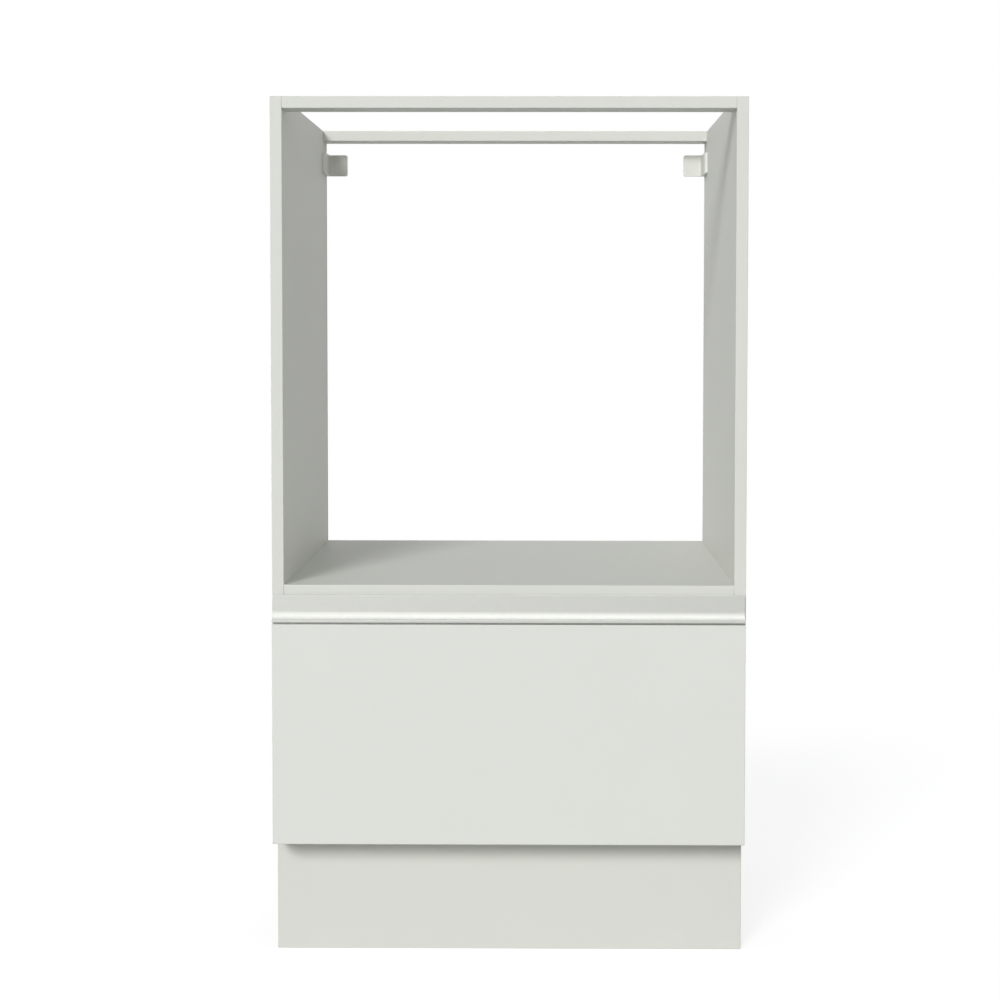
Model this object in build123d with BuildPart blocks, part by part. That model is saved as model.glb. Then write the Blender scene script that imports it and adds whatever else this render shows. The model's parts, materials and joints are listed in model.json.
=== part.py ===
from build123d import *
import os
from math import asin, cos, degrees, pi, radians, sin, tan

os.makedirs("parts", exist_ok=True)

# Base cabinet for a built-in oven, with one deep drawer. Millimetres, +X to the right,
# +Y to the wall, +Z up. The origin is on the floor, below the middle of the whole cabinet.

# Small round pieces that repeat, and their bores, are drawn with few sides
SHANK_SIDES = 6
HEAD_SIDES = 8
MOULDING_SIDES = 12
LEG_SIDES = 20

# Carcass
WIDTH = 600
BOARD = 15
CARCASS_DEPTH = 530
LEG_HEIGHT = 150
DRAWER_BAY_HEIGHT = 300
NICHE_HEIGHT = 600
RAIL_DEPTH = 50
EDGE_EASE = 0.5

# Back panel, held in grooves sawn along the whole of both sides
BACK_THICK = 3
BACK_INSET = 5
BACK_GROOVE_DEPTH = 6
BACK_END_GAP = 1
GROOVE_PLAY = 0.2

# Cam fittings and dowels that hold the boards together
CAM_RADIUS = 7.5
CAM_HEIGHT = 12
CAM_SETBACK = 24
CAM_FIT = 0.1
CAM_SLOT_WIDTH = 1.6
CAM_SLOT_DEPTH = 1.5
BOLT_RADIUS = 3.5
BOLT_HEAD_REACH = 3
BOLT_BORE_RADIUS = 4
BOLT_THREAD_RADIUS = 2.5
BOLT_THREAD_LENGTH = 11
BOLT_THREAD_FIT = 0.1
DOWEL_RADIUS = 4
DOWEL_LENGTH = 30
DOWEL_IN_SIDE = 10
DOWEL_FIT = 0.1
DOWEL_END_GAP = 1
RAIL_FIXING_SPREAD = 24
BOARD_CAM_INSET = 130

# Holes in the top rails for the worktop screws
WORKTOP_HOLE_RADIUS = 2.5
WORKTOP_HOLE_SPREAD = 450

# Wall brackets: a steel angle under a snap-on cover, in the rear top corners of the niche
BRACKET_STEEL = 1.5
BRACKET_TOP_GAP = 17.5
BRACKET_HEIGHT = 31.5
BRACKET_FLAP = 31.6
BRACKET_LEG = 65
COVER_THICK = 5
COVER_SKIN = 1.2
COVER_FIT = 0.1
COVER_CORNER_RADIUS = 3
COVER_INNER_FILLET = 4
COVER_FRONT_CHAMFER = 2
ANGLE_CORNER = 2
ANGLE_BEND_RADIUS = 0.8
WALL_HOLE_RADIUS = 2.75
BRACKET_SCREW_RADIUS = 1.8
BRACKET_SCREW_LENGTH = 11
BRACKET_SCREW_HEAD_RADIUS = 3.6
BRACKET_SCREW_HEAD_HEIGHT = 1.8
BRACKET_SCREW_SPREAD = 30

# Legs, pressed into the bottom panel, with screw-adjusted feet
LEG_INSET_X = 60
LEG_INSET_FRONT = 92
LEG_INSET_REAR = 70
SOCKET_PLATE_RADIUS = 31
SOCKET_PLATE_THICK = 4
SOCKET_HUB_RADIUS = 20
SOCKET_HUB_HEIGHT = 20
SOCKET_PEG_RADIUS = 5
SOCKET_PEG_HEIGHT = 11
SOCKET_RIB_THICK = 2.5
SOCKET_RIB_COUNT = 4
SOCKET_RIB_ROOT = 1
PRESS_FIT = 0.05
LEG_RADIUS = 16
LEG_WALL = 3.5
LEG_FIT = 0.1
LEG_COLLAR_RADIUS = 18
LEG_COLLAR_HEIGHT = 12
FOOT_RADIUS = 25
FOOT_THICK = 6
FOOT_WHEEL_RADIUS = 18
FOOT_WHEEL_HEIGHT = 9
FOOT_STEM_LENGTH = 45
FOOT_UPSTROKE_GAP = 10
FOOT_PLAY = 0.1

# Plinth board and the clips that snap it on to the front legs
PLINTH_SETBACK = 43.5
PLINTH_TOP_GAP = 3
CLIP_HEIGHT = 26
CLIP_Z = 70
CLIP_PLATE_WIDTH = 60
CLIP_PLATE_THICK = 3
CLIP_NECK_WIDTH = 16
CLIP_JAW_THICK = 3
CLIP_NECK_SETBACK = 1
CLIP_FIT = 0.1
CLIP_MOUTH_ANGLE = 110
CLIP_SCREW_RADIUS = 1.75
CLIP_SCREW_LENGTH = 13
CLIP_SCREW_HEAD_RADIUS = 3.4
CLIP_SCREW_HEAD_HEIGHT = 1.8
CLIP_SCREW_SPREAD = 42

# Ball-bearing slides, 12.7 mm thick and 45 mm high
SLIDE_LENGTH = 450
SLIDE_THICK = 12.7
SLIDE_HEIGHT = 45
SLIDE_SETBACK = 2
SLIDE_SHEET = 1
SLIDE_BEND = 1.2
SLIDE_WEB_GAP = 1.2
BALL_RADIUS = 1.5
RACE_PLAY = 0.15
RACE_ANGLE = 50
RACE_BEND = 0.8
RACE_HOOK = 80
CAGE_LENGTH = 180
CAGE_WIDTH = 2.2
BALLS_PER_ROW = 3
CAGE_SETBACK = 135
SLIDE_SCREW_RADIUS = 1.75
SLIDE_SCREW_HOLE_RADIUS = 2.2
SLIDE_SCREW_LENGTH = 12
SLIDE_SCREW_HEAD_RADIUS = 3.5
SLIDE_SCREW_HEAD_HEIGHT = 0.9
SLIDE_SCREW_INSET = 35
SLIDE_SCREW_COUNT = 2
SLIDE_ABOVE_BOX = 70

# Drawer box
BOX_LIFT = 20
BOX_HEIGHT = 200
BOX_BOARD = 12
BOX_BOTTOM_THICK = 3
BOX_BOTTOM_LIFT = 12
BOX_GROOVE_DEPTH = 6
BOX_BOTTOM_PLAY = 0.5
BOX_SCREW_RADIUS = 2
BOX_SCREW_LENGTH = 40
BOX_SCREW_HEAD_RADIUS = 4
BOX_SCREW_HEAD_HEIGHT = 2.5
BOX_SCREW_INSET = 25

# Drawer front
FRONT_SIDE_GAP = 1.5
FRONT_THICK = 15
FRONT_HEIGHT = 280
FRONT_GAP = 2
FRONT_DROP = 13
FRONT_SCREW_RADIUS = 2
FRONT_SCREW_LENGTH = 24
FRONT_SCREW_HEAD_RADIUS = 4.5
FRONT_SCREW_HEAD_HEIGHT = 2.2
FRONT_SCREW_SPREAD_X = 400
FRONT_SCREW_SPREAD_Z = 120
SCREW_FIT = 0.1
BUFFER_RADIUS = 4
BUFFER_INSET = 25

# J-shaped pull along the top edge of the drawer front
PULL_WALL = 1.5
PULL_SHADOW_GAP = 2.5
PULL_LIP_HEIGHT = 3.5
PULL_LIP_THICK = 1.8
PULL_COVE_RADIUS = 11
PULL_HEIGHT = 36
PULL_HEEL_WIDTH = 8.5
PULL_TONGUE_LENGTH = 9
PULL_TONGUE_THICK = 1.5
PULL_TONGUE_FIT = 0.1
PULL_TONGUE_END_GAP = 1
PULL_EDGE_BREAK = 0.3

# Levels and planes that the pieces share
half_width = WIDTH / 2
bay_half = half_width - BOARD
bay_width = 2 * bay_half
total_depth = CARCASS_DEPTH + FRONT_GAP + FRONT_THICK
front_face = -total_depth / 2
front_back = front_face + FRONT_THICK
carcass_front = front_back + FRONT_GAP
carcass_rear = carcass_front + CARCASS_DEPTH
board_rear = carcass_rear - BACK_INSET - BACK_THICK
board_depth = board_rear - carcass_front
bay_floor = LEG_HEIGHT + BOARD
shelf_under = bay_floor + DRAWER_BAY_HEIGHT
shelf_top = shelf_under + BOARD
rail_under = shelf_top + NICHE_HEIGHT
carcass_top = rail_under + BOARD
slide_front = carcass_front + SLIDE_SETBACK
slide_rear = slide_front + SLIDE_LENGTH
box_bottom = bay_floor + BOX_LIFT
slide_z = box_bottom + SLIDE_ABOVE_BOX
box_half = bay_half - SLIDE_THICK
box_inner = box_half - BOX_BOARD
box_front_inside = front_back + BOX_BOARD
box_back_inside = slide_rear - BOX_BOARD
front_width = WIDTH - 2 * FRONT_SIDE_GAP
front_bottom = bay_floor - FRONT_DROP
front_top = front_bottom + FRONT_HEIGHT

RIGHT, LEFT = (1, 0, 0), (-1, 0, 0)
REAR, FRONT = (0, 1, 0), (0, -1, 0)
UP, DOWN = (0, 0, 1), (0, 0, -1)
HANDS = (-1, 1)


def facing(direction, *origin):
    """A plane at a point, whose Z looks along the direction."""
    return Plane(origin=origin, z_dir=direction)


def flipped(places):
    """The same places, looking the other way."""
    return [facing(-plane.z_dir, *plane.origin) for plane in places]


def section_at_y(y, x=0, z=0):
    """A plane for the section of what runs to the rear: its X is the cabinet's X, its Y is up."""
    return Plane(origin=(x, y, z), x_dir=RIGHT, z_dir=FRONT)


def section_at_x(x, y=0, z=0):
    """A plane for the section of what runs across: its X looks to the rear, its Y is up."""
    return Plane(origin=(x, y, z), x_dir=REAR, z_dir=RIGHT)


def bore(places, radius, depth, sides=SHANK_SIDES):
    """Drill into the current piece from each plane, against the direction of its Z."""
    with BuildSketch(*places) as mouths:
        RegularPolygon(radius, sides)
    extrude(mouths.sketch, amount=-depth, mode=Mode.SUBTRACT)


def ease_front():
    """Ease the edges round the front face of the current piece, as an edge band is trimmed."""
    chamfer(faces().sort_by(Axis.Y)[0].edges(), EDGE_EASE)


def screw(radius, length, head_radius, head_height):
    """A screw along -Z, with the seat of its head at the origin."""
    with BuildPart() as turned:
        with BuildSketch(Plane.XY):
            RegularPolygon(head_radius, HEAD_SIDES)
        extrude(amount=head_height)
        with BuildSketch(Plane.XY):
            RegularPolygon(radius, SHANK_SIDES)
        extrude(amount=-length)
    return turned.part


# How each horizontal board is joined to the sides: the level of the face that its cams are
# pressed into, the way that face looks, and the places of its cams and dowels from front to rear.
front_rail_mid = carcass_front + RAIL_DEPTH / 2
rear_rail_mid = carcass_rear - RAIL_DEPTH / 2
half_spread = RAIL_FIXING_SPREAD / 2
board_cams = (carcass_front + BOARD_CAM_INSET, board_rear - BOARD_CAM_INSET)
board_dowels = ((carcass_front + board_rear) / 2,)
board_joints = {
    "top_rail_front": (carcass_top, UP, (front_rail_mid - half_spread,), (front_rail_mid + half_spread,)),
    "top_rail_rear": (carcass_top, UP, (rear_rail_mid + half_spread,), (rear_rail_mid - half_spread,)),
    "oven_shelf": (shelf_under, DOWN, board_cams, board_dowels),
    "bottom_panel": (LEG_HEIGHT, DOWN, board_cams, board_dowels),
}
cam_places = {}
bolt_places = {}
dowel_places = {}
for board, (cam_face, cam_direction, cams, dowels) in board_joints.items():
    board_middle = cam_face - cam_direction[2] * BOARD / 2
    cam_places[board] = [
        Plane(origin=(hand * (bay_half - CAM_SETBACK), y, cam_face), x_dir=(hand, 0, 0), z_dir=cam_direction)
        for y in cams
        for hand in HANDS
    ]
    bolt_places[board] = [
        facing((-hand, 0, 0), hand * bay_half, y, board_middle) for y in cams for hand in HANDS
    ]
    dowel_places[board] = [
        facing((-hand, 0, 0), hand * bay_half, y, board_middle) for y in dowels for hand in HANDS
    ]


def all_of(places, hand=None):
    """The places of every board, or those on one side of the cabinet."""
    planes = [plane for board in places.values() for plane in board]
    return [plane for plane in planes if hand is None or plane.origin.X * hand > 0]


def join(board):
    """Cut the bores for the cams, bolts and dowels of the current board."""
    bore(cam_places[board], CAM_RADIUS + CAM_FIT, CAM_HEIGHT, HEAD_SIDES)
    bore(flipped(bolt_places[board]), BOLT_BORE_RADIUS, CAM_SETBACK)
    bore(
        flipped(dowel_places[board]),
        DOWEL_RADIUS + DOWEL_FIT,
        DOWEL_LENGTH - DOWEL_IN_SIDE + DOWEL_END_GAP,
    )


# Where screws hold the slides to the sides, and the wall brackets to the sides
slide_screw_step = (SLIDE_LENGTH - 2 * SLIDE_SCREW_INSET) / (SLIDE_SCREW_COUNT - 1)
slide_screw_ys = [slide_front + SLIDE_SCREW_INSET + i * slide_screw_step for i in range(SLIDE_SCREW_COUNT)]
bracket_bottom = rail_under - BRACKET_TOP_GAP - BRACKET_HEIGHT
bracket_mid = bracket_bottom + BRACKET_HEIGHT / 2
cover_front = carcass_rear - BRACKET_LEG
steel_front = cover_front + COVER_SKIN + COVER_FIT
steel_mid = (steel_front + carcass_rear - BRACKET_STEEL) / 2
bracket_screw_ys = [steel_mid + hand * BRACKET_SCREW_SPREAD / 2 for hand in HANDS]

# Side panels: boards over the full height, with a groove sawn near the rear for the back panel
with BuildPart() as side_panel_left:
    with BuildSketch(Plane.XY.offset(LEG_HEIGHT)):
        with Locations((-half_width, carcass_front)):
            Rectangle(BOARD, CARCASS_DEPTH, align=(Align.MIN, Align.MIN))
        with Locations((-bay_half, board_rear + BACK_THICK / 2)):
            Rectangle(2 * BACK_GROOVE_DEPTH, BACK_THICK + 2 * GROOVE_PLAY, mode=Mode.SUBTRACT)
    extrude(amount=carcass_top - LEG_HEIGHT)
    ease_front()
    bore(all_of(bolt_places, hand=-1), BOLT_THREAD_RADIUS + BOLT_THREAD_FIT, BOLT_THREAD_LENGTH)
    bore(all_of(dowel_places, hand=-1), DOWEL_RADIUS + DOWEL_FIT, DOWEL_IN_SIDE)
    bore(
        [facing(RIGHT, -bay_half, y, slide_z) for y in slide_screw_ys],
        SLIDE_SCREW_RADIUS + SCREW_FIT,
        SLIDE_SCREW_LENGTH - SLIDE_SHEET,
    )
    bore(
        [facing(RIGHT, -bay_half, y, bracket_mid) for y in bracket_screw_ys],
        BRACKET_SCREW_RADIUS + SCREW_FIT,
        BRACKET_SCREW_LENGTH - BRACKET_STEEL,
    )
side_panel_left.part.label = "side_panel_left"
export_step(side_panel_left.part, "parts/side_panel_left.step")

# Top rails, front and rear, with holes for the screws that hold the worktop
for rail_name, rail_mid in (("top_rail_front", front_rail_mid), ("top_rail_rear", rear_rail_mid)):
    with BuildPart() as top_rail:
        with BuildSketch(Plane.XY.offset(rail_under)):
            with Locations((0, rail_mid)):
                Rectangle(bay_width, RAIL_DEPTH)
            with Locations(*[(hand * WORKTOP_HOLE_SPREAD / 2, rail_mid) for hand in HANDS]):
                Circle(WORKTOP_HOLE_RADIUS, mode=Mode.SUBTRACT)
        extrude(amount=BOARD)
        ease_front()
        join(rail_name)
    top_rail.part.label = rail_name
    export_step(top_rail.part, f"parts/{rail_name}.step")

# Oven shelf, which carries the oven above the drawer
with BuildPart() as oven_shelf:
    with BuildSketch(Plane.XY.offset(shelf_under)):
        with Locations((0, carcass_front)):
            Rectangle(bay_width, board_depth, align=(Align.CENTER, Align.MIN))
    extrude(amount=BOARD)
    ease_front()
    join("oven_shelf")
oven_shelf.part.label = "oven_shelf"
export_step(oven_shelf.part, "parts/oven_shelf.step")

# Bottom panel, with blind holes underneath for the pegs of the leg sockets
leg_x = half_width - LEG_INSET_X
front_leg_y = carcass_front + LEG_INSET_FRONT
rear_leg_y = carcass_rear - LEG_INSET_REAR
leg_places = {
    "front_left": (-leg_x, front_leg_y),
    "front_right": (leg_x, front_leg_y),
    "rear_left": (-leg_x, rear_leg_y),
    "rear_right": (leg_x, rear_leg_y),
}
with BuildPart() as bottom_panel:
    with BuildSketch(Plane.XY.offset(LEG_HEIGHT)):
        with Locations((0, carcass_front)):
            Rectangle(bay_width, board_depth, align=(Align.CENTER, Align.MIN))
    extrude(amount=BOARD)
    ease_front()
    join("bottom_panel")
    bore(
        [facing(DOWN, *place, LEG_HEIGHT) for place in leg_places.values()],
        SOCKET_PEG_RADIUS + PRESS_FIT,
        SOCKET_PEG_HEIGHT,
    )
bottom_panel.part.label = "bottom_panel"
export_step(bottom_panel.part, "parts/bottom_panel.step")

# Back panel, which closes the drawer bay and leaves the oven niche open to the wall
with BuildPart() as back_panel:
    with BuildSketch(Plane.XY.offset(LEG_HEIGHT + BACK_END_GAP)):
        with Locations((0, board_rear)):
            Rectangle(
                bay_width + 2 * (BACK_GROOVE_DEPTH - BACK_END_GAP),
                BACK_THICK,
                align=(Align.CENTER, Align.MIN),
            )
    extrude(amount=shelf_top - LEG_HEIGHT - 2 * BACK_END_GAP)
back_panel.part.label = "back_panel"
export_step(back_panel.part, "parts/back_panel.step")

# Cam housings: each has a driver slot in its face, and a pocket that draws in the bolt's head
with BuildPart() as cam:
    with BuildSketch(Plane.XY):
        RegularPolygon(CAM_RADIUS, HEAD_SIDES)
    extrude(amount=-CAM_HEIGHT)
    bore([facing(RIGHT, CAM_RADIUS, 0, -BOARD / 2)], BOLT_RADIUS + CAM_FIT, CAM_RADIUS + BOLT_HEAD_REACH)
    with BuildSketch(Plane.XY):
        Rectangle(CAM_RADIUS, CAM_SLOT_WIDTH)
    extrude(amount=-CAM_SLOT_DEPTH, mode=Mode.SUBTRACT)
with BuildPart() as cam_housings:
    with Locations(*all_of(cam_places)):
        add(cam.part)
cam_housings.part.label = "cam_housings"
export_step(cam_housings.part, "parts/cam_housings.step")

# Cam bolts, screwed into the sides as far as their shoulder
with BuildPart() as bolt:
    with BuildSketch(Plane.XY):
        RegularPolygon(BOLT_THREAD_RADIUS, SHANK_SIDES)
    extrude(amount=-BOLT_THREAD_LENGTH)
    with BuildSketch(Plane.XY):
        RegularPolygon(BOLT_RADIUS, SHANK_SIDES)
    extrude(amount=CAM_SETBACK + BOLT_HEAD_REACH)
with BuildPart() as cam_bolts:
    with Locations(*all_of(bolt_places)):
        add(bolt.part)
cam_bolts.part.label = "cam_bolts"
export_step(cam_bolts.part, "parts/cam_bolts.step")

# Dowels, glued into the sides
with BuildPart() as dowel_pins:
    with BuildSketch(*[plane.offset(-DOWEL_IN_SIDE) for plane in all_of(dowel_places)]):
        RegularPolygon(DOWEL_RADIUS, SHANK_SIDES)
    extrude(amount=DOWEL_LENGTH)
dowel_pins.part.label = "dowels"
export_step(dowel_pins.part, "parts/dowels.step")

# Wall brackets: a steel angle with a hole for the wall screw in the flap that lies on the wall
steel_x = -bay_half + BRACKET_STEEL / 2
steel_y = carcass_rear - BRACKET_STEEL / 2
cover_side = -bay_half + BRACKET_FLAP
steel_side = cover_side - COVER_SKIN - COVER_FIT
wall_hole_x = (-bay_half + BRACKET_STEEL + steel_side) / 2
with BuildPart() as wall_bracket_left:
    with BuildSketch(Plane.XY.offset(bracket_bottom + COVER_SKIN + COVER_FIT)):
        with BuildLine():
            FilletPolyline(
                (steel_x, steel_front),
                (steel_x, steel_y),
                (steel_side, steel_y),
                radius=ANGLE_BEND_RADIUS + BRACKET_STEEL / 2,
            )
        trace(line_width=BRACKET_STEEL)
    extrude(amount=BRACKET_HEIGHT - 2 * (COVER_SKIN + COVER_FIT))
    chamfer(edges().filter_by(Axis.Y).group_by(Axis.X)[-1], ANGLE_CORNER)
    chamfer(edges().filter_by(Axis.X).group_by(Axis.Y)[0], ANGLE_CORNER)
    with Locations(facing(REAR, wall_hole_x, carcass_rear, bracket_mid)):
        Hole(WALL_HOLE_RADIUS, 2 * BRACKET_STEEL)
    bore(
        [facing(RIGHT, -bay_half + BRACKET_STEEL, y, bracket_mid) for y in bracket_screw_ys],
        BRACKET_SCREW_RADIUS + SCREW_FIT,
        BRACKET_STEEL,
    )
wall_bracket_left.part.label = "wall_bracket_left"
export_step(wall_bracket_left.part, "parts/wall_bracket_left.step")


# Bracket covers: a thin moulded shell over each steel angle, open to the side and to the wall
def angle_corners(skin):
    """The corners of the cover in plan, or of its hollow when a skin is left off."""
    inner_x = -bay_half + COVER_THICK - skin
    inner_y = carcass_rear - COVER_THICK + skin
    return [
        (-bay_half, cover_front + skin),
        (inner_x, cover_front + skin),
        (inner_x, inner_y),
        (cover_side - skin, inner_y),
        (cover_side - skin, carcass_rear),
        (-bay_half, carcass_rear),
    ]


with BuildPart() as bracket_cover_left:
    with BuildSketch(Plane.XY.offset(bracket_bottom)):
        with BuildLine():
            Polyline(*angle_corners(0), close=True)
        make_face()
    extrude(amount=BRACKET_HEIGHT)
    fillet(edges().filter_by(Axis.Y).group_by(Axis.X)[-1], COVER_CORNER_RADIUS)
    chamfer(edges().filter_by(Axis.X).group_by(Axis.Y)[0], COVER_FRONT_CHAMFER)
    with BuildSketch(Plane.XY.offset(bracket_bottom + COVER_SKIN)):
        with BuildLine():
            Polyline(*angle_corners(COVER_SKIN), close=True)
        make_face()
    extrude(amount=BRACKET_HEIGHT - 2 * COVER_SKIN, mode=Mode.SUBTRACT)
    inner_bend_x = -bay_half + COVER_THICK
    fillet(
        edges().filter_by(Axis.Z).filter_by_position(Axis.X, inner_bend_x, inner_bend_x),
        COVER_INNER_FILLET,
    )
bracket_cover_left.part.label = "bracket_cover_left"
export_step(bracket_cover_left.part, "parts/bracket_cover_left.step")

# Screws of the wall brackets
bracket_screw = screw(
    BRACKET_SCREW_RADIUS, BRACKET_SCREW_LENGTH, BRACKET_SCREW_HEAD_RADIUS, BRACKET_SCREW_HEAD_HEIGHT
)
with BuildPart() as bracket_screws:
    with Locations(
        *[
            facing((-hand, 0, 0), hand * (bay_half - BRACKET_STEEL), y, bracket_mid)
            for y in bracket_screw_ys
            for hand in HANDS
        ]
    ):
        add(bracket_screw)
bracket_screws.part.label = "bracket_screws"
export_step(bracket_screws.part, "parts/bracket_screws.step")

# Leg socket: a plate under the bottom panel, a peg pressed into the panel, and a ribbed hub
socket_plate_under = LEG_HEIGHT - SOCKET_PLATE_THICK
hub_bottom = socket_plate_under - SOCKET_HUB_HEIGHT
rib_planes = [
    Plane.XZ.rotated((0, 0, i * 360 / SOCKET_RIB_COUNT), ordering=Extrinsic.XYZ)
    for i in range(SOCKET_RIB_COUNT)
]
with BuildPart() as leg_socket:
    with BuildSketch(Plane.XY.offset(socket_plate_under)):
        RegularPolygon(SOCKET_PLATE_RADIUS, MOULDING_SIDES)
    extrude(amount=SOCKET_PLATE_THICK)
    with BuildSketch(Plane.XY.offset(LEG_HEIGHT)):
        RegularPolygon(SOCKET_PEG_RADIUS, SHANK_SIDES)
    extrude(amount=SOCKET_PEG_HEIGHT)
    with BuildSketch(Plane.XY.offset(hub_bottom)):
        RegularPolygon(SOCKET_HUB_RADIUS, MOULDING_SIDES)
        RegularPolygon(LEG_RADIUS + LEG_FIT, MOULDING_SIDES, major_radius=False, mode=Mode.SUBTRACT)
    extrude(amount=SOCKET_HUB_HEIGHT)
    with BuildSketch(*rib_planes):
        with BuildLine():
            Polyline(
                (SOCKET_HUB_RADIUS - SOCKET_RIB_ROOT, socket_plate_under),
                (SOCKET_PLATE_RADIUS - SOCKET_RIB_ROOT, socket_plate_under),
                (SOCKET_HUB_RADIUS - SOCKET_RIB_ROOT, hub_bottom + SOCKET_RIB_ROOT),
                close=True,
            )
        make_face()
    extrude(amount=SOCKET_RIB_THICK / 2, both=True)

# Leg tube, with a grip round its lower end
tube_bottom = FOOT_THICK + FOOT_WHEEL_HEIGHT + FOOT_UPSTROKE_GAP
tube_bore_radius = LEG_RADIUS - LEG_WALL
with BuildPart() as leg_tube:
    with BuildSketch(Plane.XY.offset(tube_bottom)):
        RegularPolygon(LEG_RADIUS, LEG_SIDES)
        RegularPolygon(tube_bore_radius, MOULDING_SIDES, mode=Mode.SUBTRACT)
    extrude(amount=socket_plate_under - tube_bottom)
    with BuildSketch(Plane.XY.offset(tube_bottom)):
        RegularPolygon(LEG_COLLAR_RADIUS, MOULDING_SIDES)
        RegularPolygon(tube_bore_radius, MOULDING_SIDES, mode=Mode.SUBTRACT)
    extrude(amount=LEG_COLLAR_HEIGHT)

# Levelling foot, which screws in and out of the tube and is turned by the wheel above its disc
with BuildPart() as levelling_foot:
    with BuildSketch(Plane.XY):
        RegularPolygon(FOOT_RADIUS, LEG_SIDES)
    extrude(amount=FOOT_THICK)
    with BuildSketch(Plane.XY.offset(FOOT_THICK)):
        RegularPolygon(FOOT_WHEEL_RADIUS, MOULDING_SIDES)
    extrude(amount=FOOT_WHEEL_HEIGHT)
    with BuildSketch(Plane.XY.offset(FOOT_THICK + FOOT_WHEEL_HEIGHT)):
        RegularPolygon(tube_bore_radius - FOOT_PLAY, MOULDING_SIDES)
    extrude(amount=FOOT_STEM_LENGTH)

leg_pieces = {"leg_socket": leg_socket, "leg_tube": leg_tube, "levelling_foot": levelling_foot}
for corner, place in leg_places.items():
    for name, piece in leg_pieces.items():
        with BuildPart() as placed:
            with Locations(place):
                add(piece.part)
        placed.part.label = f"{name}_{corner}"
        export_step(placed.part, f"parts/{name}_{corner}.step")

# Plinth board, which stands on the floor in front of the legs
plinth_face = carcass_front + PLINTH_SETBACK
plinth_back = plinth_face + BOARD
clip_mid = CLIP_Z + CLIP_HEIGHT / 2
clip_screw_places = [
    facing(REAR, hand * leg_x + side * CLIP_SCREW_SPREAD / 2, plinth_back, clip_mid)
    for hand in HANDS
    for side in HANDS
]
with BuildPart() as plinth_board:
    with BuildSketch(Plane.XY):
        with Locations((0, plinth_face)):
            Rectangle(WIDTH, BOARD, align=(Align.CENTER, Align.MIN))
    extrude(amount=LEG_HEIGHT - PLINTH_TOP_GAP)
    ease_front()
    bore(clip_screw_places, CLIP_SCREW_RADIUS + SCREW_FIT, CLIP_SCREW_LENGTH - CLIP_PLATE_THICK)
plinth_board.part.label = "plinth_board"
export_step(plinth_board.part, "parts/plinth_board.step")

# Plinth clips: a springy jaw round each front leg, on a plate that is screwed to the plinth
jaw_inner = LEG_RADIUS + CLIP_FIT
jaw_outer = jaw_inner + CLIP_JAW_THICK
mouth_half = jaw_outer * tan(radians(CLIP_MOUTH_ANGLE / 2))
with BuildPart() as plinth_clip_left:
    with BuildSketch(Plane.XY.offset(CLIP_Z)):
        with Locations((-leg_x, front_leg_y)):
            RegularPolygon(jaw_outer, LEG_SIDES)
            RegularPolygon(jaw_inner, LEG_SIDES, mode=Mode.SUBTRACT)
            Polygon((0, 0), (mouth_half, jaw_outer), (-mouth_half, jaw_outer), align=None, mode=Mode.SUBTRACT)
        with Locations((-leg_x, plinth_back)):
            Rectangle(CLIP_PLATE_WIDTH, CLIP_PLATE_THICK, align=(Align.CENTER, Align.MIN))
            Rectangle(
                CLIP_NECK_WIDTH,
                front_leg_y - plinth_back - jaw_inner - CLIP_NECK_SETBACK,
                align=(Align.CENTER, Align.MIN),
            )
    extrude(amount=CLIP_HEIGHT)
    bore(
        [plane.offset(CLIP_PLATE_THICK) for plane in clip_screw_places],
        CLIP_SCREW_RADIUS + SCREW_FIT,
        CLIP_PLATE_THICK,
    )
plinth_clip_left.part.label = "plinth_clip_left"
export_step(plinth_clip_left.part, "parts/plinth_clip_left.step")

# Screws of the plinth clips
clip_screw = screw(CLIP_SCREW_RADIUS, CLIP_SCREW_LENGTH, CLIP_SCREW_HEAD_RADIUS, CLIP_SCREW_HEAD_HEIGHT)
with BuildPart() as plinth_clip_screws:
    with Locations(*[plane.offset(CLIP_PLATE_THICK) for plane in clip_screw_places]):
        add(clip_screw)
plinth_clip_screws.part.label = "plinth_clip_screws"
export_step(plinth_clip_screws.part, "parts/plinth_clip_screws.step")

# Slides: each has an outer, a middle and an inner member, rolled from one sheet thickness. The
# sections are drawn from the middle of the sheet: X from the side panel's face, Y from the slide's
# axis. Two balls run in each half: one between the outer and the middle member, and one between
# the middle and the inner member. Every race is an arc round its ball, and each of the two turns
# of the middle member's flange wraps one ball, so that the flange lies like an S between them.
race_radius = BALL_RADIUS + RACE_PLAY + SLIDE_SHEET / 2
race_rise = race_radius * sin(radians(RACE_ANGLE))
race_run = race_radius * cos(radians(RACE_ANGLE))
race_turn = 180 - 2 * RACE_ANGLE
bend_turn = 180 - RACE_ANGLE
bend_reach = 1 + cos(radians(RACE_ANGLE))
outer_web = SLIDE_SHEET / 2
outer_flange = SLIDE_HEIGHT / 2 - SLIDE_SHEET / 2
middle_web = outer_web + SLIDE_SHEET + SLIDE_WEB_GAP
inner_web = SLIDE_THICK - SLIDE_SHEET / 2
outer_ball = (middle_web + RACE_BEND * bend_reach + race_run, outer_flange - race_radius)
inner_ball = (outer_ball[0] + 2 * race_run, outer_ball[1] - 2 * race_rise)
inner_bend = (inner_web - inner_ball[0] - race_run) / bend_reach
slide_section = section_at_y(slide_front, x=-bay_half, z=slide_z)

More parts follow.
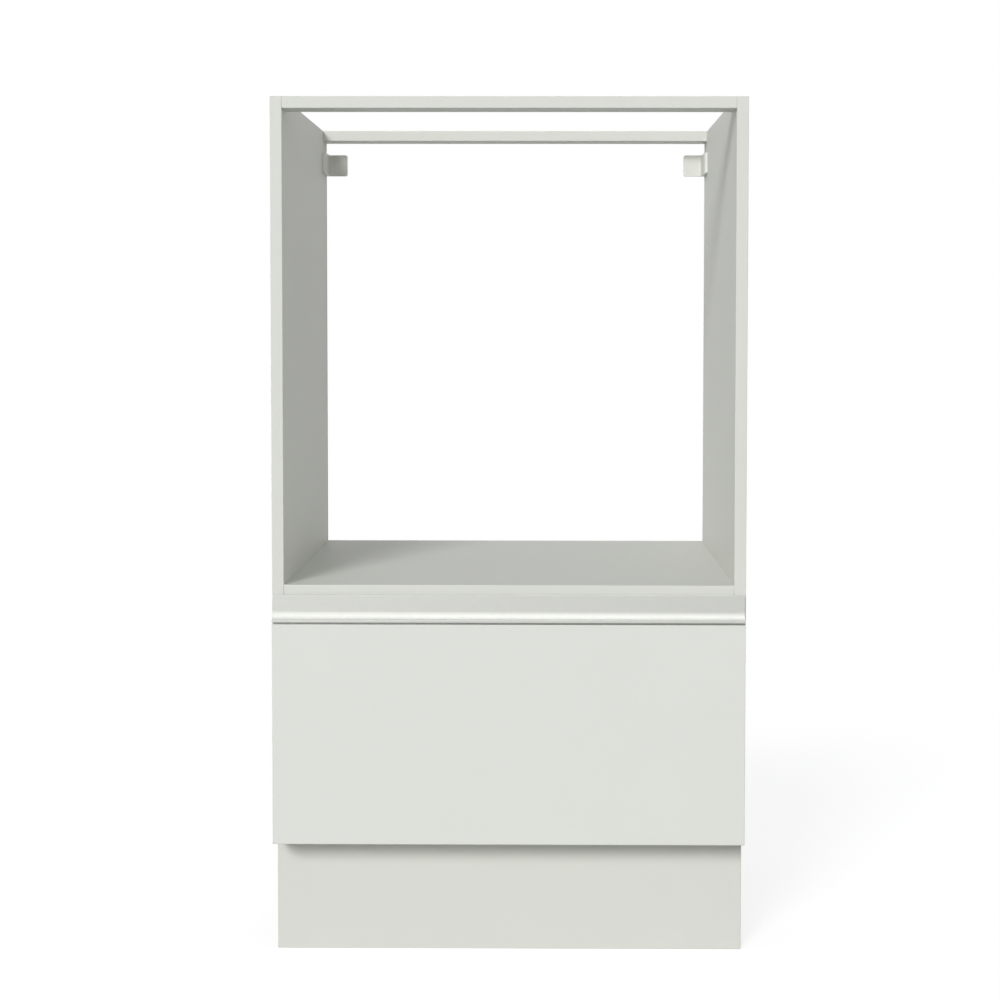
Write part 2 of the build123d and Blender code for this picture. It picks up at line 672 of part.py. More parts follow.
with BuildPart() as slide_outer_left:
    with BuildSketch(slide_section):
        with BuildLine():
            corner = CenterArc((outer_web + SLIDE_BEND, outer_flange - SLIDE_BEND), SLIDE_BEND, 180, -90)
            Line((outer_web, 0), corner @ 0)
            race = CenterArc(outer_ball, race_radius, 90, -RACE_HOOK)
            Line(corner @ 1, race @ 0)
        trace(line_width=SLIDE_SHEET)
        mirror(about=Plane.XZ)
    extrude(amount=-SLIDE_LENGTH)
    bore(
        [facing(RIGHT, -bay_half + SLIDE_SHEET, y, slide_z) for y in slide_screw_ys],
        SLIDE_SCREW_HOLE_RADIUS,
        SLIDE_SHEET,
    )
slide_outer_left.part.label = "slide_outer_left"
export_step(slide_outer_left.part, "parts/slide_outer_left.step")

with BuildPart() as slide_middle_left:
    with BuildSketch(slide_section):
        with BuildLine():
            bend_centre = (middle_web + RACE_BEND, outer_ball[1] - race_rise * (1 + RACE_BEND / race_radius))
            bend = CenterArc(bend_centre, RACE_BEND, 180, -bend_turn)
            Line((middle_web, 0), bend @ 0)
            CenterArc(outer_ball, race_radius, 180 + RACE_ANGLE, race_turn)
            CenterArc(inner_ball, race_radius, bend_turn, 90 - RACE_HOOK - bend_turn)
        trace(line_width=SLIDE_SHEET)
        mirror(about=Plane.XZ)
    extrude(amount=-SLIDE_LENGTH)
slide_middle_left.part.label = "slide_middle_left"
export_step(slide_middle_left.part, "parts/slide_middle_left.step")

with BuildPart() as slide_inner_left:
    with BuildSketch(slide_section):
        with BuildLine():
            bend_centre = (inner_web - inner_bend, inner_ball[1] - race_rise * (1 + inner_bend / race_radius))
            bend = CenterArc(bend_centre, inner_bend, 0, bend_turn)
            Line((inner_web, 0), bend @ 0)
            CenterArc(inner_ball, race_radius, -RACE_ANGLE, -race_turn)
        trace(line_width=SLIDE_SHEET)
        mirror(about=Plane.XZ)
    extrude(amount=-SLIDE_LENGTH)
    bore(
        [facing(RIGHT, -box_half, y, slide_z) for y in slide_screw_ys],
        SLIDE_SCREW_HOLE_RADIUS,
        SLIDE_SHEET,
    )
slide_inner_left.part.label = "slide_inner_left"
export_step(slide_inner_left.part, "parts/slide_inner_left.step")

# Ball cages: a strip above and a strip below, each as thick as the middle flats of its balls
cage_front = slide_front + CAGE_SETBACK
ball_step = CAGE_LENGTH / BALLS_PER_ROW
ball_width = 2 * BALL_RADIUS * cos(pi / HEAD_SIDES)
ball_flat = ball_width * tan(pi / HEAD_SIDES)
with BuildPart() as ball:
    Box(ball_width, ball_width, ball_width)
    chamfer(edges(), (ball_width - ball_flat) / 2)
cages = {}
for name, centre in (("ball_cage_outer_left", outer_ball), ("ball_cage_inner_left", inner_ball)):
    with BuildPart() as cages[name]:
        with BuildSketch(section_at_y(cage_front, x=-bay_half, z=slide_z)):
            with Locations(centre, (centre[0], -centre[1])):
                Rectangle(CAGE_WIDTH, ball_flat)
        extrude(amount=-CAGE_LENGTH)
        with Locations(
            *[
                (-bay_half + centre[0], cage_front + (i + 1 / 2) * ball_step, slide_z + row * centre[1])
                for row in HANDS
                for i in range(BALLS_PER_ROW)
            ]
        ):
            add(ball.part)
    cages[name].part.label = name
    export_step(cages[name].part, f"parts/{name}.step")

# Screws of the slides: in the side panels, and in the sides of the drawer box
slide_screw = screw(
    SLIDE_SCREW_RADIUS, SLIDE_SCREW_LENGTH, SLIDE_SCREW_HEAD_RADIUS, SLIDE_SCREW_HEAD_HEIGHT
)
for name, web_face, toward_bay in (
    ("slide_outer_screws", bay_half - SLIDE_SHEET, -1),
    ("slide_inner_screws", box_half + SLIDE_SHEET, 1),
):
    with BuildPart() as slide_screws:
        with Locations(
            *[
                facing((hand * toward_bay, 0, 0), hand * web_face, y, slide_z)
                for y in slide_screw_ys
                for hand in HANDS
            ]
        ):
            add(slide_screw)
    slide_screws.part.label = name
    export_step(slide_screws.part, f"parts/{name}.step")

# Drawer box: sides, with a front and a back between them, all grooved for the bottom
groove_height = BOX_BOTTOM_THICK + GROOVE_PLAY
groove_level = box_bottom + BOX_BOTTOM_LIFT
box_screw_levels = (box_bottom + BOX_SCREW_INSET, box_bottom + BOX_HEIGHT - BOX_SCREW_INSET)
end_board_mids = (front_back + BOX_BOARD / 2, slide_rear - BOX_BOARD / 2)
with BuildPart() as drawer_side_left:
    with BuildSketch(section_at_y(front_back)):
        with Locations((-box_half, box_bottom)):
            Rectangle(BOX_BOARD, BOX_HEIGHT, align=(Align.MIN, Align.MIN))
        with Locations((-box_inner, groove_level)):
            Rectangle(
                2 * BOX_GROOVE_DEPTH, groove_height, align=(Align.CENTER, Align.MIN), mode=Mode.SUBTRACT
            )
    extrude(amount=front_back - slide_rear)
    box_screw_mouths = [facing(LEFT, -box_half, y, z) for y in end_board_mids for z in box_screw_levels]
    bore(box_screw_mouths, BOX_SCREW_HEAD_RADIUS + SCREW_FIT, BOX_SCREW_HEAD_HEIGHT, HEAD_SIDES)
    bore(box_screw_mouths, BOX_SCREW_RADIUS + SCREW_FIT, BOX_BOARD)
    bore(
        [facing(LEFT, -box_half, y, slide_z) for y in slide_screw_ys],
        SLIDE_SCREW_RADIUS + SCREW_FIT,
        SLIDE_SCREW_LENGTH - SLIDE_SHEET,
    )
drawer_side_left.part.label = "drawer_side_left"
export_step(drawer_side_left.part, "parts/drawer_side_left.step")

front_screw_spots = [
    (hand * FRONT_SCREW_SPREAD_X / 2, box_bottom + BOX_HEIGHT / 2 + side * FRONT_SCREW_SPREAD_Z / 2)
    for hand in HANDS
    for side in HANDS
]
for name, board_front, grooved_face in (
    ("drawer_inner_front", front_back, box_front_inside),
    ("drawer_back", box_back_inside, box_back_inside),
):
    with BuildPart() as end_board:
        with BuildSketch(section_at_x(-box_inner)):
            with Locations((board_front, box_bottom)):
                Rectangle(BOX_BOARD, BOX_HEIGHT, align=(Align.MIN, Align.MIN))
            with Locations((grooved_face, groove_level)):
                Rectangle(
                    2 * BOX_GROOVE_DEPTH, groove_height, align=(Align.CENTER, Align.MIN), mode=Mode.SUBTRACT
                )
        extrude(amount=2 * box_inner)
        bore(
            [
                facing((hand, 0, 0), hand * box_inner, board_front + BOX_BOARD / 2, z)
                for hand in HANDS
                for z in box_screw_levels
            ],
            BOX_SCREW_RADIUS + SCREW_FIT,
            BOX_SCREW_LENGTH - BOX_BOARD,
        )
        if name == "drawer_inner_front":
            bore(
                [facing(REAR, x, box_front_inside, z) for x, z in front_screw_spots],
                FRONT_SCREW_RADIUS + SCREW_FIT,
                BOX_BOARD,
            )
    end_board.part.label = name
    export_step(end_board.part, f"parts/{name}.step")

groove_reach = BOX_GROOVE_DEPTH - BOX_BOTTOM_PLAY
with BuildPart() as drawer_bottom:
    with BuildSketch(Plane.XY.offset(groove_level)):
        with Locations((0, (box_front_inside + box_back_inside) / 2)):
            Rectangle(
                2 * (box_inner + groove_reach), box_back_inside - box_front_inside + 2 * groove_reach
            )
    extrude(amount=BOX_BOTTOM_THICK)
drawer_bottom.part.label = "drawer_bottom"
export_step(drawer_bottom.part, "parts/drawer_bottom.step")

box_screw = screw(
    BOX_SCREW_RADIUS, BOX_SCREW_LENGTH - BOX_SCREW_HEAD_HEIGHT, BOX_SCREW_HEAD_RADIUS, BOX_SCREW_HEAD_HEIGHT
)
with BuildPart() as drawer_box_screws:
    with Locations(
        *[
            facing((hand, 0, 0), hand * (box_half - BOX_SCREW_HEAD_HEIGHT), y, z)
            for hand in HANDS
            for y in end_board_mids
            for z in box_screw_levels
        ]
    ):
        add(box_screw)
drawer_box_screws.part.label = "drawer_box_screws"
export_step(drawer_box_screws.part, "parts/drawer_box_screws.step")

# Drawer front: a slab with a slot in its top edge for the tongue of the pull
tongue_front = FRONT_THICK - PULL_HEEL_WIDTH
tongue_back = tongue_front + PULL_TONGUE_THICK
with BuildPart() as drawer_front:
    with BuildSketch(section_at_x(-front_width / 2, y=front_face, z=front_top)):
        Rectangle(FRONT_THICK, FRONT_HEIGHT, align=(Align.MIN, Align.MAX))
        with Locations(((tongue_front + tongue_back) / 2, 0)):
            Rectangle(
                PULL_TONGUE_THICK + 2 * PULL_TONGUE_FIT,
                2 * (PULL_TONGUE_LENGTH + PULL_TONGUE_END_GAP),
                mode=Mode.SUBTRACT,
            )
    extrude(amount=front_width)
    ease_front()
    bore(
        [facing(REAR, x, front_back, z) for x, z in front_screw_spots],
        FRONT_SCREW_RADIUS + SCREW_FIT,
        FRONT_SCREW_LENGTH - BOX_BOARD,
    )
drawer_front.part.label = "drawer_front"
export_step(drawer_front.part, "parts/drawer_front.step")

front_screw = screw(
    FRONT_SCREW_RADIUS, FRONT_SCREW_LENGTH, FRONT_SCREW_HEAD_RADIUS, FRONT_SCREW_HEAD_HEIGHT
)
with BuildPart() as front_fixing_screws:
    with Locations(*[facing(REAR, x, box_front_inside, z) for x, z in front_screw_spots]):
        add(front_screw)
front_fixing_screws.part.label = "front_fixing_screws"
export_step(front_fixing_screws.part, "parts/front_fixing_screws.step")

# Pull: an aluminium profile with a lip, a concave finger channel and a back wall. Its heel stands
# on the front's top edge, and its tongue sits in the slot. X runs from the front's face, Y from
# its top edge.
cove = (FRONT_THICK - PULL_WALL - PULL_COVE_RADIUS, PULL_SHADOW_GAP + PULL_WALL + PULL_COVE_RADIUS)
cove_outer = PULL_COVE_RADIUS + PULL_WALL
lip_top = PULL_SHADOW_GAP + PULL_LIP_HEIGHT
with BuildPart() as handle_profile:
    with BuildSketch(section_at_x(-front_width / 2, y=front_face, z=front_top)):
        with BuildLine():
            underside = CenterArc(cove, cove_outer, -90, degrees(asin((tongue_front - cove[0]) / cove_outer)))
            channel = CenterArc(cove, PULL_COVE_RADIUS, -90, 90)
            Polyline(
                underside @ 0,
                (0, PULL_SHADOW_GAP),
                (0, lip_top),
                (PULL_LIP_THICK, lip_top),
                (PULL_LIP_THICK, PULL_SHADOW_GAP + PULL_WALL),
                channel @ 0,
            )
            Polyline(
                channel @ 1,
                (FRONT_THICK - PULL_WALL, PULL_HEIGHT),
                (FRONT_THICK, PULL_HEIGHT),
                (FRONT_THICK, 0),
                (tongue_back, 0),
                (tongue_back, -PULL_TONGUE_LENGTH),
                (tongue_front, -PULL_TONGUE_LENGTH),
                underside @ 1,
            )
        make_face()
        chamfer(vertices().filter_by_position(Axis.Y, lip_top, lip_top), PULL_EDGE_BREAK)
        chamfer(vertices().group_by(Axis.Y)[-1], PULL_EDGE_BREAK)
    extrude(amount=front_width)
handle_profile.part.label = "handle_profile"
export_step(handle_profile.part, "parts/handle_profile.step")

# Buffers on the back of the front, where it closes on the edges of the side panels
buffer_levels = (front_bottom + BUFFER_INSET, front_top - BUFFER_INSET)
buffer_x = half_width - BOARD / 2
with BuildPart() as front_buffers:
    with BuildSketch(
        *[facing(REAR, hand * buffer_x, front_back, z) for hand in HANDS for z in buffer_levels]
    ):
        RegularPolygon(BUFFER_RADIUS, MOULDING_SIDES)
    extrude(amount=FRONT_GAP)
front_buffers.part.label = "front_buffers"
export_step(front_buffers.part, "parts/front_buffers.step")

# The right-hand pieces are mirror images of the left-hand ones
left_pieces = (
    side_panel_left,
    wall_bracket_left,
    bracket_cover_left,
    plinth_clip_left,
    slide_outer_left,
    slide_middle_left,
    slide_inner_left,
    *cages.values(),
    drawer_side_left,
)
for piece in left_pieces:
    with BuildPart() as twin:
        mirror(piece.part, about=Plane.YZ)
    twin.part.label = piece.part.label.replace("left", "right")
    export_step(twin.part, f"parts/{twin.part.label}.step")
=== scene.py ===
import bmesh
import bpy
import json
from math import atan2, cos, pi, radians, sin
from mathutils import Matrix, Vector

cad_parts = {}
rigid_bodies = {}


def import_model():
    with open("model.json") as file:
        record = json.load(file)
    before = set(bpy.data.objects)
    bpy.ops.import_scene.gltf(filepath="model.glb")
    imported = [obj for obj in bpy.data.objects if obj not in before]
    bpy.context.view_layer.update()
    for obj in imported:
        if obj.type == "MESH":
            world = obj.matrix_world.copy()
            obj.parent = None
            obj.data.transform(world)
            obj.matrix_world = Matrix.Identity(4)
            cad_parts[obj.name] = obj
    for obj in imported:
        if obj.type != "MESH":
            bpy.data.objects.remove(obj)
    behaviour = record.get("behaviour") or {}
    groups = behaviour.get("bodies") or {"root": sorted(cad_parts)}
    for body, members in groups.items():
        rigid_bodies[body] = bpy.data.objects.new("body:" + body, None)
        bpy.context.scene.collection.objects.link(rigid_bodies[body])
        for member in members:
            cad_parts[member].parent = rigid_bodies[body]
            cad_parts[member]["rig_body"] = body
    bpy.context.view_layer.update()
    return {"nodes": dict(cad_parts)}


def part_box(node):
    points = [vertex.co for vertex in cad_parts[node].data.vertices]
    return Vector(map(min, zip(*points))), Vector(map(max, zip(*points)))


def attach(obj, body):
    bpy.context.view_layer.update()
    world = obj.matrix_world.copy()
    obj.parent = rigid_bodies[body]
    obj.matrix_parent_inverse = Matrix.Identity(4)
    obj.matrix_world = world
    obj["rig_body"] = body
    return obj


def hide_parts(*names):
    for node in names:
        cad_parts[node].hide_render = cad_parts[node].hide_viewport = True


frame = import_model()
MM = 0.001  # sizes are in metres

# The studio: a pale floor and a white surround, one broad lamp high at the front left, and two
# reflectors, at the side and overhead, that show in gloss alone. The camera stands almost square
# to the front, a little right of the middle, at the height of the oven niche.
CAMERA_PLACE = (47.1 * MM, -2840.1 * MM, 817.9 * MM)
CAMERA_DOWN, CAMERA_TILT, CAMERA_RIGHT = radians(2.848), radians(0.063), radians(-0.458)
CAMERA_LENS = 73.89
CAMERA_SHIFT = (-0.03, -0.08)
KEY_FROM = Vector((-0.35, -1.0, 0.48))
KEY_SPREAD = radians(17)
KEY_POWER = 2.08
SURROUND_LOW, SURROUND_HIGH = (0.83, 0.835, 0.83, 1), (0.30, 0.31, 0.32, 1)
SURROUND_TURN = (0.2, 0.5)
ROOM_DARK, ROOM_TURN = 0.6, (-0.90, -0.70)
REFLECTOR_AIM = (0, -0.27, 0.45)
REFLECTORS = {
    "side_reflector": ((-1.5, -3.2, 0.6), 1.2, 34),
    "top_reflector": ((0.1, -1.3, 2.9), 1.6, 75),
}
FLOOR_HALF = 9
FLOOR_COLOUR = (0.58, 0.58, 0.57, 1)
FLOOR_SEEN = (0.30, 0.30, 0.30, 1)
FLOOR_LIFT = 0.82
FLOOR_FADE = (0.7, 1.6)


def shade(tree, kind, inputs=None, **settings):
    """Adds a shader node. A socket among its inputs is linked, and any other value is set."""
    made = tree.nodes.new("ShaderNode" + kind)
    for key, value in settings.items():
        setattr(made, key, value)
    for key, value in (inputs or {}).items():
        if isinstance(value, bpy.types.NodeSocket):
            tree.links.new(value, made.inputs[key])
        else:
            made.inputs[key].default_value = value
    return made


def sum_of(tree, operation, *values):
    """The result of a Math node on sockets and numbers."""
    return shade(tree, "Math", dict(enumerate(values)), operation=operation).outputs[0]


def seen_directly(tree):
    """1 for the rays that show a background: those of the camera, of gloss and through glass."""
    path = shade(tree, "LightPath")
    sharp = sum_of(tree, "MAXIMUM", path.outputs["Is Glossy Ray"], path.outputs["Is Transmission Ray"])
    return sum_of(tree, "MAXIMUM", path.outputs["Is Camera Ray"], sharp)


def new_material(name):
    """An empty material, with its node tree and its output node."""
    material = bpy.data.materials.new(name)
    material.use_nodes = True
    material.node_tree.nodes.clear()
    return material, material.node_tree, material.node_tree.nodes.new("ShaderNodeOutputMaterial")


camera_data = bpy.data.cameras.new("camera")
camera_data.lens = CAMERA_LENS
camera_data.sensor_width = 36
camera_data.shift_x, camera_data.shift_y = CAMERA_SHIFT
camera = bpy.data.objects.new("camera", camera_data)
camera.location = CAMERA_PLACE
camera.rotation_euler = (pi / 2 - CAMERA_DOWN, -CAMERA_TILT, -CAMERA_RIGHT)
bpy.context.scene.collection.objects.link(camera)
bpy.context.scene.camera = camera
bpy.context.scene.view_settings.view_transform = "Standard"

surround = bpy.data.worlds.new("surround")
surround.use_nodes = True
surround.node_tree.nodes.clear()
tree = surround.node_tree
sky = shade(tree, "SeparateXYZ", {0: shade(tree, "TexCoord").outputs["Generated"]})
rise = shade(
    tree, "MapRange", {"Value": sky.outputs["Z"], "From Min": SURROUND_TURN[0], "From Max": SURROUND_TURN[1]}
)
dome = shade(
    tree, "Mix", {"Factor": rise.outputs[0], "A": SURROUND_LOW, "B": SURROUND_HIGH}, data_type="RGBA"
)
room = shade(
    tree,
    "MapRange",
    {"Value": sky.outputs["Y"], "From Min": ROOM_TURN[0], "From Max": ROOM_TURN[1], "To Min": ROOM_DARK},
)
lit = shade(tree, "Background", {"Color": dome.outputs["Result"], "Strength": room.outputs[0]})
shown = shade(tree, "Background", {"Color": (1, 1, 1, 1), "Strength": 1})
either = shade(tree, "MixShader", {0: seen_directly(tree), 1: lit.outputs[0], 2: shown.outputs[0]})
shade(tree, "OutputWorld", {"Surface": either.outputs[0]})
bpy.context.scene.world = surround

key_data = bpy.data.lights.new("key", "SUN")
key_data.energy = KEY_POWER
key_data.angle = KEY_SPREAD
key = bpy.data.objects.new("key", key_data)
key.rotation_euler = KEY_FROM.to_track_quat("Z", "Y").to_euler()
bpy.context.scene.collection.objects.link(key)

for name, (spot, size, power) in REFLECTORS.items():
    reflector_data = bpy.data.lights.new(name, "AREA")
    reflector_data.energy = power
    reflector_data.size = size
    reflector = bpy.data.objects.new(name, reflector_data)
    reflector.location = spot
    reflector.rotation_euler = (Vector(spot) - Vector(REFLECTOR_AIM)).to_track_quat("Z", "Y").to_euler()
    reflector.visible_camera = False
    reflector.visible_diffuse = False
    bpy.context.scene.collection.objects.link(reflector)

floor_mesh = bmesh.new()
bmesh.ops.create_grid(floor_mesh, x_segments=1, y_segments=1, size=FLOOR_HALF)
floor_data = bpy.data.meshes.new("floor")
floor_mesh.to_mesh(floor_data)
floor = bpy.data.objects.new("floor", floor_data)
bpy.context.scene.collection.objects.link(floor)
floor_finish, tree, out = new_material("pale_floor")
plain = shade(tree, "BsdfDiffuse", {"Color": FLOOR_COLOUR})
seen = shade(tree, "BsdfDiffuse", {"Color": FLOOR_SEEN})
lift = shade(tree, "Emission", {"Color": (1, 1, 1, 1), "Strength": FLOOR_LIFT})
white = shade(tree, "Emission", {"Color": (1, 1, 1, 1), "Strength": 1})
lifted = shade(tree, "AddShader", {0: seen.outputs[0], 1: lift.outputs[0]})
place = shade(tree, "TexCoord").outputs["Object"]
reach = shade(tree, "VectorMath", {0: place}, operation="LENGTH").outputs["Value"]
fade = shade(
    tree,
    "MapRange",
    {"Value": reach, "From Min": FLOOR_FADE[0], "From Max": FLOOR_FADE[1]},
    interpolation_type="SMOOTHSTEP",
)
faded = shade(tree, "MixShader", {0: fade.outputs[0], 1: lifted.outputs[0], 2: white.outputs[0]})
either = shade(tree, "MixShader", {0: seen_directly(tree), 1: plain.outputs[0], 2: faded.outputs[0]})
tree.links.new(either.outputs[0], out.inputs["Surface"])
floor_data.materials.append(floor_finish)

# Side panels: melamine-faced chipboard over the full height. Only their front edges are banded,
# with a thin plastic strip, and every other cut shows the core. A groove is sawn down the inside
# near the rear edge for the back panel.
BOARD_WHITE = (0.690, 0.696, 0.651, 1)
FILM = 0.25 * MM
BAND = 0.9 * MM
GLUE_LINE = 0.15 * MM
GLUE_SHADE = 0.80
CORE_DARK, CORE_PALE = (0.16, 0.095, 0.05, 1), (0.56, 0.42, 0.26, 1)
CHIP_SIZE = 2.4 * MM
CHIP_RELIEF = 0.25 * MM
CHIP_ROUGH = 0.9
PEARL_SIZE = 1.1 * MM
PEARL_RELIEF = 0.012 * MM
CLOUD_SIZE = 90 * MM
BOARD_GLOSS, BOARD_GLOSS_RANGE = 0.55, 0.05
BOARD_SHEEN = 0.22
WELD = 0.002 * MM
CREASE = radians(35)
BOARD_ROUND = 0.35 * MM


def effect(name, values, results):
    """An empty node group with named inputs, each (kind, default), and named outputs."""
    group = bpy.data.node_groups.new(name, "ShaderNodeTree")
    for title, (kind, default) in values.items():
        socket = group.interface.new_socket(name=title, in_out="INPUT", socket_type="NodeSocket" + kind)
        if default is not None:
            socket.default_value = default
    for title, kind in results.items():
        group.interface.new_socket(name=title, in_out="OUTPUT", socket_type="NodeSocket" + kind)
    return group, group.nodes.new("NodeGroupInput").outputs, group.nodes.new("NodeGroupOutput").inputs


def chipboard_core():
    """Pressed wood chips as a saw leaves them: straw and brown chips with pits between them."""
    group, given, results = effect(
        "chipboard_core", {"Position": ("Vector", None)}, {"Color": "Color", "Height": "Float"}
    )
    chips = shade(
        group, "TexVoronoi", {"Vector": given["Position"], "Scale": 1 / CHIP_SIZE, "Randomness": 1}
    )
    dust = shade(
        group,
        "TexNoise",
        {"Vector": given["Position"], "Scale": 4 / CHIP_SIZE, "Detail": 3, "Roughness": 0.7},
    )
    tone = shade(group, "SeparateColor", {"Color": chips.outputs["Color"]}).outputs[0]
    tone = sum_of(group, "MULTIPLY_ADD", dust.outputs["Fac"], 0.7, sum_of(group, "MULTIPLY", tone, 0.55))
    colour = shade(
        group, "Mix", {"Factor": tone, "A": CORE_DARK, "B": CORE_PALE}, data_type="RGBA", clamp_factor=True
    )
    edges = sum_of(group, "MULTIPLY", chips.outputs["Distance"], 0.6)
    pits = sum_of(group, "SUBTRACT", dust.outputs["Fac"], edges)
    group.links.new(colour.outputs["Result"], results["Color"])
    group.links.new(pits, results["Height"])
    return group


def pearl_face():
    """The pressed face of a decor film: an even white with faint clouds and a fine embossing."""
    group, given, results = effect(
        "pearl_face",
        {"Position": ("Vector", None), "White": ("Color", BOARD_WHITE), "Gloss": ("Float", BOARD_GLOSS)},
        {"Color": "Color", "Roughness": "Float", "Height": "Float"},
    )
    clouds = shade(group, "TexNoise", {"Vector": given["Position"], "Scale": 1 / CLOUD_SIZE, "Detail": 2})
    emboss = shade(
        group,
        "TexNoise",
        {"Vector": given["Position"], "Scale": 1 / PEARL_SIZE, "Detail": 2, "Roughness": 0.55},
    )
    fleck = sum_of(group, "MULTIPLY_ADD", emboss.outputs["Fac"], 0.022, 0.979)
    base = sum_of(group, "SUBTRACT", fleck, 0.01)
    level = sum_of(group, "MULTIPLY_ADD", clouds.outputs["Fac"], 0.02, base)
    colour = shade(group, "VectorMath", {0: given["White"], "Scale": level}, operation="SCALE")
    spread = sum_of(group, "SUBTRACT", emboss.outputs["Fac"], 0.5)
    gloss = sum_of(group, "MULTIPLY_ADD", spread, 2 * BOARD_GLOSS_RANGE, given["Gloss"])
    group.links.new(colour.outputs["Vector"], results["Color"])
    group.links.new(gloss, results["Roughness"])
    group.links.new(emboss.outputs["Fac"], results["Height"])
    return group


CORE, PEARL = chipboard_core(), pearl_face()


def faced_board(name, node, across, bands, white=BOARD_WHITE, gloss=BOARD_GLOSS):
    """Film on the two broad faces, plastic on the banded edges and bare core on every other cut.

    across is the axis of the thickness, and each band is an edge such as "-Y". Planes come from
    the node's box. The side panels are twins, so distances along X are taken from the middle."""
    material, tree, out = new_material(name)
    place = shade(tree, "TexCoord").outputs["Object"]
    parts = shade(tree, "SeparateXYZ", {"Vector": place}).outputs
    low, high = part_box(node)
    spans = {axis: sorted((low[i], high[i])) for i, axis in enumerate("XYZ")}
    along = {axis: parts[axis] for axis in "XYZ"}
    if low.x * high.x > 0:
        along["X"] = sum_of(tree, "ABSOLUTE", parts["X"])
        spans["X"] = sorted((abs(low.x), abs(high.x)))
    middle, half = sum(spans[across]) / 2, (spans[across][1] - spans[across][0]) / 2
    from_middle = sum_of(tree, "ABSOLUTE", sum_of(tree, "SUBTRACT", along[across], middle))
    cover = sum_of(tree, "GREATER_THAN", from_middle, half - FILM)
    glue = 0
    for sign, axis in bands:
        edge = spans[axis][1] if sign == "+" else spans[axis][0]
        inward = -1 if sign == "+" else 1
        glue = sum_of(
            tree, "MAXIMUM", glue, sum_of(tree, "COMPARE", along[axis], edge + inward * BAND, GLUE_LINE / 2)
        )
        cover = sum_of(tree, "MAXIMUM", cover, sum_of(tree, "COMPARE", along[axis], edge, BAND))
    face = shade(tree, "Group", node_tree=PEARL)
    tree.links.new(place, face.inputs["Position"])
    face.inputs["White"].default_value = white
    face.inputs["Gloss"].default_value = gloss
    core = shade(tree, "Group", node_tree=CORE)
    tree.links.new(place, core.inputs["Position"])
    lined = shade(
        tree,
        "VectorMath",
        {
            0: face.outputs["Color"],
            "Scale": sum_of(tree, "SUBTRACT", 1, sum_of(tree, "MULTIPLY", glue, 1 - GLUE_SHADE)),
        },
        operation="SCALE",
    )
    colour = shade(
        tree,
        "Mix",
        {"Factor": cover, "A": core.outputs["Color"], "B": lined.outputs["Vector"]},
        data_type="RGBA",
    )
    rough = shade(
        tree,
        "Mix",
        {"Factor": cover, "A": CHIP_ROUGH, "B": face.outputs["Roughness"]},
        data_type="FLOAT",
    )
    relief = shade(
        tree,
        "Mix",
        {
            "Factor": cover,
            "A": sum_of(tree, "MULTIPLY", core.outputs["Height"], CHIP_RELIEF / PEARL_RELIEF),
            "B": face.outputs["Height"],
        },
        data_type="FLOAT",
    )
    bump = shade(
        tree, "Bump", {"Height": relief.outputs["Result"], "Strength": 1, "Distance": PEARL_RELIEF}
    )
    surface = shade(
        tree,
        "BsdfPrincipled",
        {
            "Base Color": colour.outputs["Result"],
            "Roughness": rough.outputs["Result"],
            "Normal": bump.outputs["Normal"],
            "Specular IOR Level": BOARD_SHEEN,
        },
    )
    tree.links.new(surface.outputs[0], out.inputs["Surface"])
    return material


def closed_copy(node):
    """A bmesh of a CAD node, with its loose triangles joined into whole faces."""
    mesh = bmesh.new()
    mesh.from_mesh(frame["nodes"][node].data)
    bmesh.ops.remove_doubles(mesh, verts=mesh.verts, dist=WELD)
    bmesh.ops.dissolve_limit(mesh, angle_limit=radians(0.5), verts=mesh.verts, edges=mesh.edges)
    return mesh


def round_edges(mesh, width, longer_than=0.0, steps=3):
    """Rounds over the outer corners of a mesh, along edges that are long and sharp enough."""
    picked = [
        edge
        for edge in mesh.edges
        if edge.is_manifold and edge.is_convex and edge.calc_length() > longer_than
        and edge.calc_face_angle() > CREASE
    ]
    bmesh.ops.bevel(
        mesh, geom=picked, offset=width, segments=steps, profile=0.5, affect="EDGES", material=-1
    )
    bmesh.ops.dissolve_degenerate(mesh, edges=mesh.edges, dist=WELD / 2)


def finished(name, mesh, material, body, replaces=()):
    """Turns a bmesh into a piece of the object that rides on a body, and may stand for CAD nodes."""
    data = bpy.data.meshes.new(name)
    for face in mesh.faces:
        face.smooth = True
    mesh.to_mesh(data)
    mesh.free()
    data.set_sharp_from_angle(angle=CREASE)
    data.materials.append(material)
    piece = bpy.data.objects.new(name, data)
    bpy.context.scene.collection.objects.link(piece)
    piece.modifiers.new("even_shading", "WEIGHTED_NORMAL").keep_sharp = True
    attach(piece, body)
    if replaces:
        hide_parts(*replaces)
    return piece


def worked(node, material, width, longer_than=0.0, steps=3):
    """The piece that stands for a CAD node: its own shape, with the outer edges rounded over."""
    mesh = closed_copy(node)
    round_edges(mesh, width, longer_than, steps)
    return finished(node + "_worked", mesh, material, frame["nodes"][node]["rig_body"], [node])


LONG_EDGE = 12 * MM
side_board = faced_board("side_board", "side_panel_left", "X", ["-Y"])
for hand in ("left", "right"):
    worked("side_panel_" + hand, side_board, BOARD_ROUND, LONG_EDGE, 2)

# Top rails, oven shelf and bottom panel: the same board laid flat between the sides, each with
# its front edge banded and its cams pressed in from above or below.
for node in ("top_rail_front", "top_rail_rear", "oven_shelf", "bottom_panel"):
    flat_board = faced_board(node + "_board", node, "Z", ["-Y"])
    worked(node, flat_board, BOARD_ROUND, LONG_EDGE, 2)

# Plinth board: stands on the floor and hides the legs. It is cut to length on site, so its ends
# show the core, and its long edges are banded.
plinth_faced = faced_board("plinth_board_faced", "plinth_board", "Y", ["+Z", "-Z"])
worked("plinth_board", plinth_faced, BOARD_ROUND, LONG_EDGE, 2)

